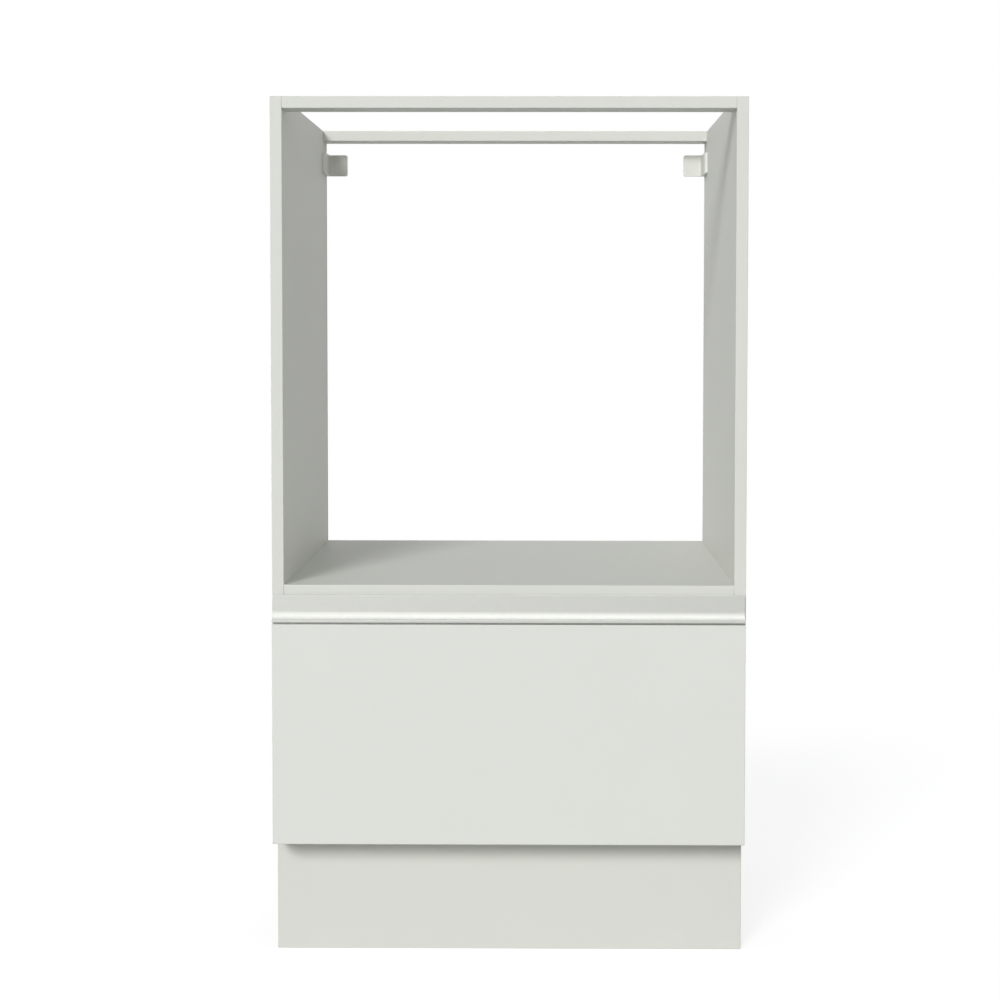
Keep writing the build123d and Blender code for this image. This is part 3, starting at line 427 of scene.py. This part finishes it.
# Back panel and drawer bottom: thin hardboard, lacquered white on the side that shows and left
# brown behind and below, where the mesh of the press is still seen. Both slide into grooves.
HARDBOARD_WHITE = (0.66, 0.665, 0.625, 1)
HARDBOARD_DARK, HARDBOARD_PALE = (0.20, 0.115, 0.055, 1), (0.36, 0.23, 0.125, 1)
FIBRE_SIZE = 3.5 * MM
LACQUER, LACQUER_GLOSS, FIBRE_ROUGH = 0.2 * MM, 0.42, 0.75
PRESS_MESH = 1.3 * MM
PRESS_RELIEF = 0.06 * MM


def hardboard(name, node, across, lacquered):
    """Brown fibreboard with white lacquer on one face, given as "-" or "+" along an axis."""
    material, tree, out = new_material(name)
    place = shade(tree, "TexCoord").outputs["Object"]
    parts = shade(tree, "SeparateXYZ", {"Vector": place}).outputs
    low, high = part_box(node)
    face = (low if lacquered == "-" else high)["XYZ".index(across)]
    white = sum_of(tree, "COMPARE", parts[across], face, LACQUER)
    film = shade(tree, "Group", node_tree=PEARL)
    tree.links.new(place, film.inputs["Position"])
    film.inputs["White"].default_value = HARDBOARD_WHITE
    film.inputs["Gloss"].default_value = LACQUER_GLOSS
    fibres = shade(
        tree, "TexNoise", {"Vector": place, "Scale": 1 / FIBRE_SIZE, "Detail": 6, "Roughness": 0.75}
    )
    tone = shade(tree, "MapRange", {"Value": fibres.outputs["Fac"], "From Min": 0.35, "From Max": 0.65})
    brown = shade(
        tree,
        "Mix",
        {"Factor": tone.outputs[0], "A": HARDBOARD_DARK, "B": HARDBOARD_PALE},
        data_type="RGBA",
    )
    mesh_lines = {"Vector": place, "Scale": 1 / PRESS_MESH / 20}
    weave = [
        shade(tree, "TexWave", mesh_lines, bands_direction=axis).outputs["Fac"]
        for axis in "XYZ".replace(across, "")
    ]
    pressed = sum_of(tree, "MULTIPLY", *weave)
    colour = shade(
        tree,
        "Mix",
        {"Factor": white, "A": brown.outputs["Result"], "B": film.outputs["Color"]},
        data_type="RGBA",
    )
    rough = shade(
        tree,
        "Mix",
        {"Factor": white, "A": FIBRE_ROUGH, "B": film.outputs["Roughness"]},
        data_type="FLOAT",
    )
    relief = shade(
        tree,
        "Mix",
        {"Factor": white, "A": pressed, "B": sum_of(tree, "MULTIPLY", film.outputs["Height"], 0.2)},
        data_type="FLOAT",
    )
    bump = shade(tree, "Bump", {"Height": relief.outputs["Result"], "Distance": PRESS_RELIEF})
    surface = shade(
        tree,
        "BsdfPrincipled",
        {
            "Base Color": colour.outputs["Result"],
            "Roughness": rough.outputs["Result"],
            "Normal": bump.outputs["Normal"],
        },
    )
    tree.links.new(surface.outputs[0], out.inputs["Surface"])
    return material


HARDBOARD_ROUND = 0.2 * MM
back_hardboard = hardboard("back_hardboard", "back_panel", "Y", "-")
worked("back_panel", back_hardboard, HARDBOARD_ROUND, 0, 1)

# Cam fittings and dowels: a round zinc housing pressed flush into the board, turned with a
# screwdriver to draw in the head of a bolt. The bolts and the beech dowels stay hidden.
ZINC_DULL = (0.42, 0.42, 0.415, 1)
ZINC_BRIGHT = (0.60, 0.60, 0.605, 1)
CAST_GRAIN = 0.35 * MM
PLATE_GRAIN = 1.8 * MM
CAM_RIM_WIDTH, CAM_RIM_HEIGHT = 0.9 * MM, 0.05 * MM
CAM_DISH, CAM_DISH_DEPTH = 6.3 * MM, 0.6 * MM
CAM_CROSS, CAM_CROSS_ARM, CAM_CROSS_DEPTH = 4.6 * MM, 0.9 * MM, 2.4 * MM
CROSS_NARROWING = 0.6
TURNED_SIDES = 40


def metal_grain():
    """The skin of small metal parts: cloudy tone, changing sheen and a fine grain."""
    group, given, results = effect(
        "metal_grain",
        {
            "Position": ("Vector", None),
            "Metal": ("Color", ZINC_BRIGHT),
            "Grain Size": ("Float", CAST_GRAIN),
            "Roughness": ("Float", 0.4),
            "Contrast": ("Float", 0.2),
        },
        {"Color": "Color", "Roughness": "Float", "Height": "Float"},
    )
    scale = sum_of(group, "DIVIDE", 1, given["Grain Size"])
    grain = shade(group, "TexNoise", {"Vector": given["Position"], "Scale": scale, "Detail": 3})
    wide = sum_of(group, "MULTIPLY", scale, 0.12)
    clouds = shade(group, "TexNoise", {"Vector": given["Position"], "Scale": wide, "Detail": 2})
    both = sum_of(group, "ADD", grain.outputs["Fac"], clouds.outputs["Fac"])
    swing = sum_of(group, "MULTIPLY", sum_of(group, "SUBTRACT", both, 1), given["Contrast"])
    colour = shade(
        group, "VectorMath", {0: given["Metal"], "Scale": sum_of(group, "ADD", swing, 1)}, operation="SCALE"
    )
    group.links.new(colour.outputs["Vector"], results["Color"])
    group.links.new(sum_of(group, "SUBTRACT", given["Roughness"], swing), results["Roughness"])
    group.links.new(grain.outputs["Fac"], results["Height"])
    return group


GRAIN = metal_grain()


def grained(name, colour, grain, roughness, contrast, relief, metallic=1.0):
    """A material with the grain's tone, sheen and relief, for metal and for moulded plastic."""
    material, tree, out = new_material(name)
    skin = shade(tree, "Group", node_tree=GRAIN)
    tree.links.new(shade(tree, "TexCoord").outputs["Object"], skin.inputs["Position"])
    look = {"Metal": colour, "Grain Size": grain, "Roughness": roughness, "Contrast": contrast}
    for title, value in look.items():
        skin.inputs[title].default_value = value
    bump = shade(tree, "Bump", {"Height": skin.outputs["Height"], "Distance": relief})
    surface = shade(
        tree,
        "BsdfPrincipled",
        {
            "Base Color": skin.outputs["Color"],
            "Roughness": skin.outputs["Roughness"],
            "Normal": bump.outputs["Normal"],
            "Metallic": metallic,
        },
    )
    tree.links.new(surface.outputs[0], out.inputs["Surface"])
    return material


def solids_of(node):
    """The lowest and highest corner of each separate solid of a CAD node."""
    mesh = closed_copy(node)
    left = set(mesh.verts)
    boxes = []
    while left:
        found = [left.pop()]
        for vert in found:
            near = {edge.other_vert(vert) for edge in vert.link_edges} & left
            left -= near
            found.extend(near)
        corners = [vert.co.copy() for vert in found]
        boxes.append((Vector(map(min, *corners)), Vector(map(max, *corners))))
    mesh.free()
    return sorted(boxes, key=lambda box: tuple(round(part, 5) for part in (*box[0], *box[1])))


def rim(mesh, radius, level):
    """The open edges of a turned shape that lie on one circle round Z."""
    on_rim = {
        vert
        for vert in mesh.verts
        if abs(vert.co.z - level) < WELD and abs(vert.co.xy.length - radius) < WELD
    }
    return [edge for edge in mesh.edges if edge.is_boundary and on_rim.issuperset(edge.verts)]


def turned(mesh, profile, sides=TURNED_SIDES, close_last=True, hollow=False):
    """A turned shape through (radius, level) pairs, closed across both ends unless told otherwise.

    A hollow one has its last point joined to its first. Returns the rim that is left open."""
    line = [mesh.verts.new((radius, 0, level)) for radius, level in profile]
    drawn = [mesh.edges.new(pair) for pair in zip(line, line[1:])]
    if hollow:
        drawn.append(mesh.edges.new((line[-1], line[0])))
    bmesh.ops.spin(
        mesh, geom=line + drawn, cent=(0, 0, 0), axis=(0, 0, 1), angle=2 * pi, steps=sides, use_merge=True
    )
    if hollow:
        return []
    bmesh.ops.edgeloop_fill(mesh, edges=rim(mesh, *profile[0]))
    if close_last:
        bmesh.ops.edgeloop_fill(mesh, edges=rim(mesh, *profile[-1]))
    return rim(mesh, *profile[-1])


def cross_recess(mesh, outline, size, arm, level, depth):
    """Closes a round rim but for a cross-shaped hole for a driver, narrower at its bottom."""
    spots = [(size, -arm), (size, arm), (arm, arm)]
    corners = [
        mesh.verts.new((x * cos(turn) - y * sin(turn), x * sin(turn) + y * cos(turn), level))
        for turn in (0, pi / 2, pi, 3 * pi / 2)
        for x, y in spots
    ]
    mouth = [mesh.edges.new((a, b)) for a, b in zip(corners, corners[1:] + corners[:1])]
    bmesh.ops.triangle_fill(mesh, edges=outline + mouth, use_beauty=True)
    sunk = bmesh.ops.extrude_edge_only(mesh, edges=mouth)["geom"]
    low = [part for part in sunk if isinstance(part, bmesh.types.BMVert)]
    bmesh.ops.translate(mesh, verts=low, vec=(0, 0, -depth))
    bmesh.ops.scale(mesh, verts=low, vec=(CROSS_NARROWING, CROSS_NARROWING, 1))
    bottom = [
        part
        for part in sunk
        if isinstance(part, bmesh.types.BMEdge) and all(vert in low for vert in part.verts)
    ]
    bmesh.ops.edgeloop_fill(mesh, edges=bottom)


def placed_copies(mesh, spots):
    """Repeats what a mesh holds at each (place, direction of its Z), and leaves out the first."""
    first = mesh.verts[:] + mesh.edges[:] + mesh.faces[:]
    for place, direction in spots:
        copy = bmesh.ops.duplicate(mesh, geom=first)["geom"]
        verts = [part for part in copy if isinstance(part, bmesh.types.BMVert)]
        turn = Vector(direction).to_track_quat("Z", "Y").to_matrix().to_4x4()
        bmesh.ops.transform(mesh, matrix=Matrix.Translation(place) @ turn, verts=verts)
    bmesh.ops.delete(mesh, geom=first, context="VERTS")
    bmesh.ops.recalc_face_normals(mesh, faces=mesh.faces[:])


zinc_casting = grained("zinc_casting", ZINC_DULL, CAST_GRAIN, 0.5, 0.25, 0.02 * MM)
zinc_plated = grained("zinc_plated", ZINC_BRIGHT, PLATE_GRAIN, 0.3, 0.12, 0.002 * MM)
cams = solids_of("cam_housings")
cam_radius = (cams[0][1].x - cams[0][0].x) / 2
cam_height = cams[0][1].z - cams[0][0].z
mesh = bmesh.new()
cam_rim = turned(
    mesh,
    [
        (cam_radius * 0.9, -cam_height),
        (cam_radius * 0.9, -CAM_DISH_DEPTH),
        (cam_radius + CAM_RIM_WIDTH, 0),
        (cam_radius + CAM_RIM_WIDTH, CAM_RIM_HEIGHT / 2),
        (cam_radius + CAM_RIM_WIDTH / 2, CAM_RIM_HEIGHT),
        (CAM_DISH, CAM_RIM_HEIGHT / 2),
        (CAM_DISH * 0.95, -CAM_DISH_DEPTH),
    ],
    close_last=False,
)
cross_recess(mesh, cam_rim, CAM_CROSS, CAM_CROSS_ARM, -CAM_DISH_DEPTH, CAM_CROSS_DEPTH)
shelf_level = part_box("oven_shelf")[1].z
placed_copies(
    mesh,
    [
        (
            ((low.x + high.x) / 2, (low.y + high.y) / 2, high.z if low.z > shelf_level else low.z),
            (0, 0, 1 if low.z > shelf_level else -1),
        )
        for low, high in cams
    ],
)
finished("cams", mesh, zinc_casting, "carcass", ["cam_housings"])
frame["nodes"]["cam_bolts"].data.materials.clear()
frame["nodes"]["cam_bolts"].data.materials.append(zinc_plated)

BEECH_PALE, BEECH_DARK = (0.62, 0.42, 0.24, 1), (0.45, 0.28, 0.14, 1)
BEECH_GRAIN, BEECH_FLUTES = (2, 60, 60), 0.1 * MM
beech, tree, out = new_material("beech")
place = shade(tree, "TexCoord").outputs["Object"]
grain_place = shade(tree, "Mapping", {"Vector": place, "Scale": BEECH_GRAIN})
rays = shade(
    tree, "TexNoise", {"Vector": grain_place.outputs[0], "Scale": 20, "Detail": 4, "Roughness": 0.7}
)
wood = shade(
    tree, "Mix", {"Factor": rays.outputs["Fac"], "A": BEECH_DARK, "B": BEECH_PALE}, data_type="RGBA"
)
flutes = shade(tree, "Bump", {"Height": rays.outputs["Fac"], "Distance": BEECH_FLUTES})
surface = shade(
    tree,
    "BsdfPrincipled",
    {"Base Color": wood.outputs["Result"], "Roughness": 0.6, "Normal": flutes.outputs["Normal"]},
)
tree.links.new(surface.outputs[0], out.inputs["Surface"])
frame["nodes"]["dowels"].data.materials.clear()
frame["nodes"]["dowels"].data.materials.append(beech)

# Wall brackets: a bent steel angle screwed to the side and to the wall, under a white moulded
# cover that snaps over it. The cover is open to the side panel and to the wall.
COVER_WHITE = (0.70, 0.705, 0.665, 1)
COVER_ROUND = 0.5 * MM
STEEL_ROUND = 0.25 * MM
MOULD_GRAIN = 0.5 * MM
HEAD_DOME = 0.3
SCREW_CROSS, SCREW_CROSS_ARM = 0.55, 0.13


def screws(name, node, inward):
    """Round-headed screws with a cross recess for a node of screws.

    inward(low, high) gives the direction from a screw's head to its point."""
    spots, sizes = [], None
    for low, high in solids_of(node):
        way = Vector(inward(low, high))
        middle, half = (low + high) / 2, (high - low) / 2
        axis = max(range(3), key=lambda i: abs(way[i]))
        spots.append((middle - way * half[axis], -way))
        sizes = (half[(axis + 1) % 3], 2 * half[axis])
    head, length = sizes
    mesh = bmesh.new()
    rim_level, seat = -head * HEAD_DOME, -head * 0.5
    head_rim = turned(
        mesh,
        [
            (head * 0.1, -length),
            (head * 0.45, -length + head * 0.8),
            (head * 0.5, seat),
            (head, seat),
            (head, rim_level),
            (head * 0.86, rim_level * 0.35),
            (head * 0.72, 0),
        ],
        close_last=False,
    )
    cross_recess(mesh, head_rim, head * SCREW_CROSS, head * SCREW_CROSS_ARM, 0, head * 0.5)
    placed_copies(mesh, spots)
    body = frame["nodes"][node]["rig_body"]
    return finished(name, mesh, zinc_plated, body, [node])


white_moulding = grained("white_moulding", COVER_WHITE, MOULD_GRAIN, 0.42, 0.03, 0.004 * MM, metallic=0.0)
for hand in ("left", "right"):
    worked("wall_bracket_" + hand, zinc_plated, STEEL_ROUND)
    worked("bracket_cover_" + hand, white_moulding, COVER_ROUND)
screws("bracket_screw_set", "bracket_screws", lambda low, high: (1 if low.x > 0 else -1, 0, 0))

# Legs: a socket whose peg is pressed into the bottom panel, a smooth tube with a fluted grip at
# its foot, and a levelling foot on a thread, which is turned by the notched wheel above its disc.
LEG_BLACK = (0.020, 0.020, 0.021, 1)
LEG_GRAIN = 0.6 * MM
LEG_SIDES = 96
LEG_ROUND = 0.7 * MM
PLATE_RADIUS, PLATE_THICK = 31 * MM, 4 * MM
PEG_RADIUS, PEG_HEIGHT = 4.3 * MM, 11 * MM
HUB_RADIUS, HUB_BORE, HUB_ROOT = 20 * MM, 16.1 * MM, 1 * MM
RIB_THICK = 2.5 * MM
TUBE_RADIUS, TUBE_BORE = 15.85 * MM, 12.5 * MM
GRIP_RADIUS, GRIP_HEIGHT, GRIP_FLUTES, GRIP_CUT = 18 * MM, 12 * MM, 24, 0.8 * MM
DISC_RADIUS, DISC_THICK = 25 * MM, 6 * MM
WHEEL_RADIUS, WHEEL_HEIGHT, WHEEL_NOTCHES, WHEEL_CUT = 18 * MM, 9 * MM, 12, 2 * MM
STEM_CREST, STEM_ROOT, THREAD_PITCH = 12.3 * MM, 11.3 * MM, 3 * MM


def rounded_turning(profile, hollow=False):
    """A turned moulding with soft rims."""
    mesh = bmesh.new()
    turned(mesh, profile, LEG_SIDES, hollow=hollow)
    bmesh.ops.recalc_face_normals(mesh, faces=mesh.faces[:])
    if mesh.calc_volume(signed=True) < 0:
        bmesh.ops.reverse_faces(mesh, faces=mesh.faces[:])
    round_edges(mesh, LEG_ROUND)
    return mesh


def notch(mesh, radius, low, high, count, depth):
    """Cuts upright notches round the part of a turning that has this radius between two levels."""
    for vert in mesh.verts:
        here = vert.co.xy.length
        if low - WELD <= vert.co.z <= high + WELD and abs(here - radius) <= LEG_ROUND + WELD:
            cut = depth * max(0, cos(count * atan2(vert.co.y, vert.co.x))) ** 2
            vert.co.xy = vert.co.xy * (1 - cut / here)


leg_moulding = grained("leg_moulding", LEG_BLACK, LEG_GRAIN, 0.48, 0.15, 0.015 * MM, metallic=0.0)
for corner in ("front_left", "front_right", "rear_left", "rear_right"):
    socket, tube, foot = (name + corner for name in ("leg_socket_", "leg_tube_", "levelling_foot_"))
    plate_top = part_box(socket)[1].z - PEG_HEIGHT
    plate_under, hub_bottom = plate_top - PLATE_THICK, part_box(socket)[0].z
    tube_bottom, tube_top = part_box(tube)[0].z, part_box(tube)[1].z
    wheel_top, stem_top = DISC_THICK + WHEEL_HEIGHT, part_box(foot)[1].z

    socket_mesh = rounded_turning(
        [
            (HUB_BORE, plate_under),
            (HUB_BORE, hub_bottom),
            (HUB_RADIUS, hub_bottom),
            (HUB_RADIUS, plate_under),
            (PLATE_RADIUS, plate_under),
            (PLATE_RADIUS, plate_top),
            (PEG_RADIUS, plate_top),
            (PEG_RADIUS, plate_top + PEG_HEIGHT),
        ]
    )
    wedge = [(HUB_RADIUS - HUB_ROOT, plate_under), (PLATE_RADIUS - HUB_ROOT, plate_under)]
    wedge.append((HUB_RADIUS - HUB_ROOT, hub_bottom + HUB_ROOT))
    turning = set(socket_mesh.faces)
    rib = [socket_mesh.faces.new([socket_mesh.verts.new((x, -RIB_THICK / 2, z)) for x, z in wedge])]
    grown = bmesh.ops.extrude_face_region(socket_mesh, geom=rib)["geom"]
    far = [part for part in grown if isinstance(part, bmesh.types.BMVert)]
    bmesh.ops.translate(socket_mesh, verts=far, vec=(0, RIB_THICK, 0))
    ribs = list({face for vert in far + rib[0].verts[:] for face in vert.link_faces})
    bmesh.ops.spin(
        socket_mesh, geom=ribs, cent=(0, 0, 0), axis=(0, 0, 1), angle=1.5 * pi, steps=3, use_duplicate=True
    )
    added = [face for face in socket_mesh.faces if face not in turning]
    bmesh.ops.recalc_face_normals(socket_mesh, faces=added)
    tube_mesh = rounded_turning(
        [
            (TUBE_BORE, tube_bottom),
            (GRIP_RADIUS, tube_bottom),
            (GRIP_RADIUS, tube_bottom + GRIP_HEIGHT),
            (TUBE_RADIUS, tube_bottom + GRIP_HEIGHT),
            (TUBE_RADIUS, tube_top),
            (TUBE_BORE, tube_top),
        ],
        hollow=True,
    )
    notch(tube_mesh, GRIP_RADIUS, tube_bottom, tube_bottom + GRIP_HEIGHT, GRIP_FLUTES, GRIP_CUT)
    foot_mesh = rounded_turning(
        [
            (DISC_RADIUS, 0),
            (DISC_RADIUS, DISC_THICK),
            (WHEEL_RADIUS, DISC_THICK),
            (WHEEL_RADIUS, wheel_top),
        ]
    )
    notch(foot_mesh, WHEEL_RADIUS, DISC_THICK, wheel_top, WHEEL_NOTCHES, WHEEL_CUT)
    turns = round((stem_top - wheel_top) / THREAD_PITCH)
    thread = [
        (STEM_CREST if i % 2 else STEM_ROOT, wheel_top + i * THREAD_PITCH / 2)
        for i in range(2 * turns + 1)
    ]
    turning = set(foot_mesh.faces)
    turned(foot_mesh, [(STEM_ROOT, wheel_top - LEG_ROUND)] + thread, LEG_SIDES // 2)
    added = [face for face in foot_mesh.faces if face not in turning]
    bmesh.ops.recalc_face_normals(foot_mesh, faces=added)
    for node, mesh in ((socket, socket_mesh), (tube, tube_mesh), (foot, foot_mesh)):
        low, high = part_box(node)
        axis_place = ((low.x + high.x) / 2, (low.y + high.y) / 2, 0)
        bmesh.ops.translate(mesh, verts=mesh.verts, vec=axis_place)
        body = frame["nodes"][node]["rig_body"]
        finished(node + "_worked", mesh, leg_moulding, body, [node])

# Plinth clips: a springy moulded jaw that snaps round each front leg, on a plate screwed to the
# back of the plinth.
CLIP_ROUND = 0.4 * MM
for hand in ("left", "right"):
    worked("plinth_clip_" + hand, leg_moulding, CLIP_ROUND, 0, 2)
screws("plinth_clip_screw_set", "plinth_clip_screws", lambda low, high: (0, -1, 0))

# Slides: three members a side, rolled from zinc-plated strip, which run on rows of balls. The
# outer ones are screwed to the side panels and the inner ones to the drawer.
SLIDE_METAL = (0.56, 0.57, 0.58, 1)
SLIDE_GRAIN = 2.5 * MM
SLIDE_ROUND, SLIDE_LONG_EDGE = 0.15 * MM, 100 * MM
BALL_METAL, BALL_GRAIN = (0.55, 0.55, 0.56, 1), 1 * MM
BALL_RADIUS, CAGE_BALLS = 1.5 * MM, 9
CAGE_WIDTH, CAGE_THICK = 2.2 * MM, 1.15 * MM
slide_steel = grained("slide_steel", SLIDE_METAL, SLIDE_GRAIN, 0.32, 0.10, 0.003 * MM)
ball_steel = grained("ball_steel", BALL_METAL, BALL_GRAIN, 0.12, 0.04, 0.0005 * MM)
for hand in ("left", "right"):
    for member in ("outer", "middle", "inner"):
        node = f"slide_{member}_{hand}"
        worked(node, slide_steel, SLIDE_ROUND, SLIDE_LONG_EDGE, 1)
    for row in ("outer", "inner"):
        node = f"ball_cage_{row}_{hand}"
        mesh = bmesh.new()
        for low, high in solids_of(node):
            middle, length = (low + high) / 2, high.y - low.y
            strip = Matrix.LocRotScale(middle, None, (CAGE_WIDTH, length, CAGE_THICK))
            bmesh.ops.create_cube(mesh, size=1, matrix=strip)
            for i in range(CAGE_BALLS):
                along = low.y + (i + 0.5) * length / CAGE_BALLS
                spot = Matrix.Translation((middle.x, along, middle.z))
                bmesh.ops.create_uvsphere(
                    mesh, u_segments=16, v_segments=10, radius=BALL_RADIUS, matrix=spot
                )
        body = frame["nodes"][node]["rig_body"]
        finished(node + "_worked", mesh, ball_steel, body, [node])
screws("slide_outer_screw_set", "slide_outer_screws", lambda low, high: (1 if low.x > 0 else -1, 0, 0))
screws("slide_inner_screw_set", "slide_inner_screws", lambda low, high: (-1 if low.x > 0 else 1, 0, 0))

# Drawer box: four boards in white film, screwed together through the sides, with a hardboard
# bottom in a groove all round.
BOX_WHITE = (0.68, 0.685, 0.65, 1)
for node, across in (
    ("drawer_side_left", "X"),
    ("drawer_side_right", "X"),
    ("drawer_inner_front", "Y"),
    ("drawer_back", "Y"),
):
    box_side = faced_board(node + "_board", node, across, ["+Z"], BOX_WHITE)
    worked(node, box_side, BOARD_ROUND, LONG_EDGE, 2)
bottom_hardboard = hardboard("bottom_hardboard", "drawer_bottom", "Z", "+")
worked("drawer_bottom", bottom_hardboard, HARDBOARD_ROUND, 0, 1)
screws("drawer_box_screw_set", "drawer_box_screws", lambda low, high: (-1 if low.x > 0 else 1, 0, 0))

# Drawer front: a slab in smooth white foil, fixed to the box with four screws from inside, with
# soft buffers behind its corners.
FRONT_WHITE, FRONT_GLOSS = (0.735, 0.742, 0.700, 1), 0.45
FRONT_ROUND = 0.3 * MM
MILKY_WHITE, BUFFER_GRAIN = (0.60, 0.60, 0.58, 1), 0.8 * MM
DOME_STEPS = 6
FRONT_BANDS = ["-X", "+X", "+Z", "-Z"]
front_board = faced_board(
    "front_board", "drawer_front", "Y", FRONT_BANDS, FRONT_WHITE, FRONT_GLOSS
)
worked("drawer_front", front_board, FRONT_ROUND, LONG_EDGE, 2)
screws("front_fixing_screw_set", "front_fixing_screws", lambda low, high: (0, -1, 0))
milky = grained("milky_rubber", MILKY_WHITE, BUFFER_GRAIN, 0.3, 0.04, 0.005 * MM, metallic=0.0)
buffers = solids_of("front_buffers")
buffer_radius = (buffers[0][1].x - buffers[0][0].x) / 2
buffer_height = buffers[0][1].y - buffers[0][0].y
mesh = bmesh.new()
climb = [i * pi / 2 / DOME_STEPS for i in range(DOME_STEPS)]
turned(mesh, [(buffer_radius * cos(turn), buffer_height * sin(turn)) for turn in climb])
seats = [((low.x + high.x) / 2, low.y, (low.z + high.z) / 2) for low, high in buffers]
placed_copies(mesh, [(seat, (0, 1, 0)) for seat in seats])
finished("front_buffers_worked", mesh, milky, "drawer", ["front_buffers"])

# Pull: one aluminium extrusion along the top of the front, satin finished. A tongue holds it in
# the slot of the front's top edge.
PULL_METAL = (0.455, 0.46, 0.435, 1)
PULL_GRAIN = 0.9 * MM
PULL_ROUND, PULL_LONG_EDGE = 0.12 * MM, 100 * MM
satin_aluminium = grained("satin_aluminium", PULL_METAL, PULL_GRAIN, 0.6, 0.05, 0.008 * MM, metallic=0.4)
worked("handle_profile", satin_aluminium, PULL_ROUND, PULL_LONG_EDGE, 2)
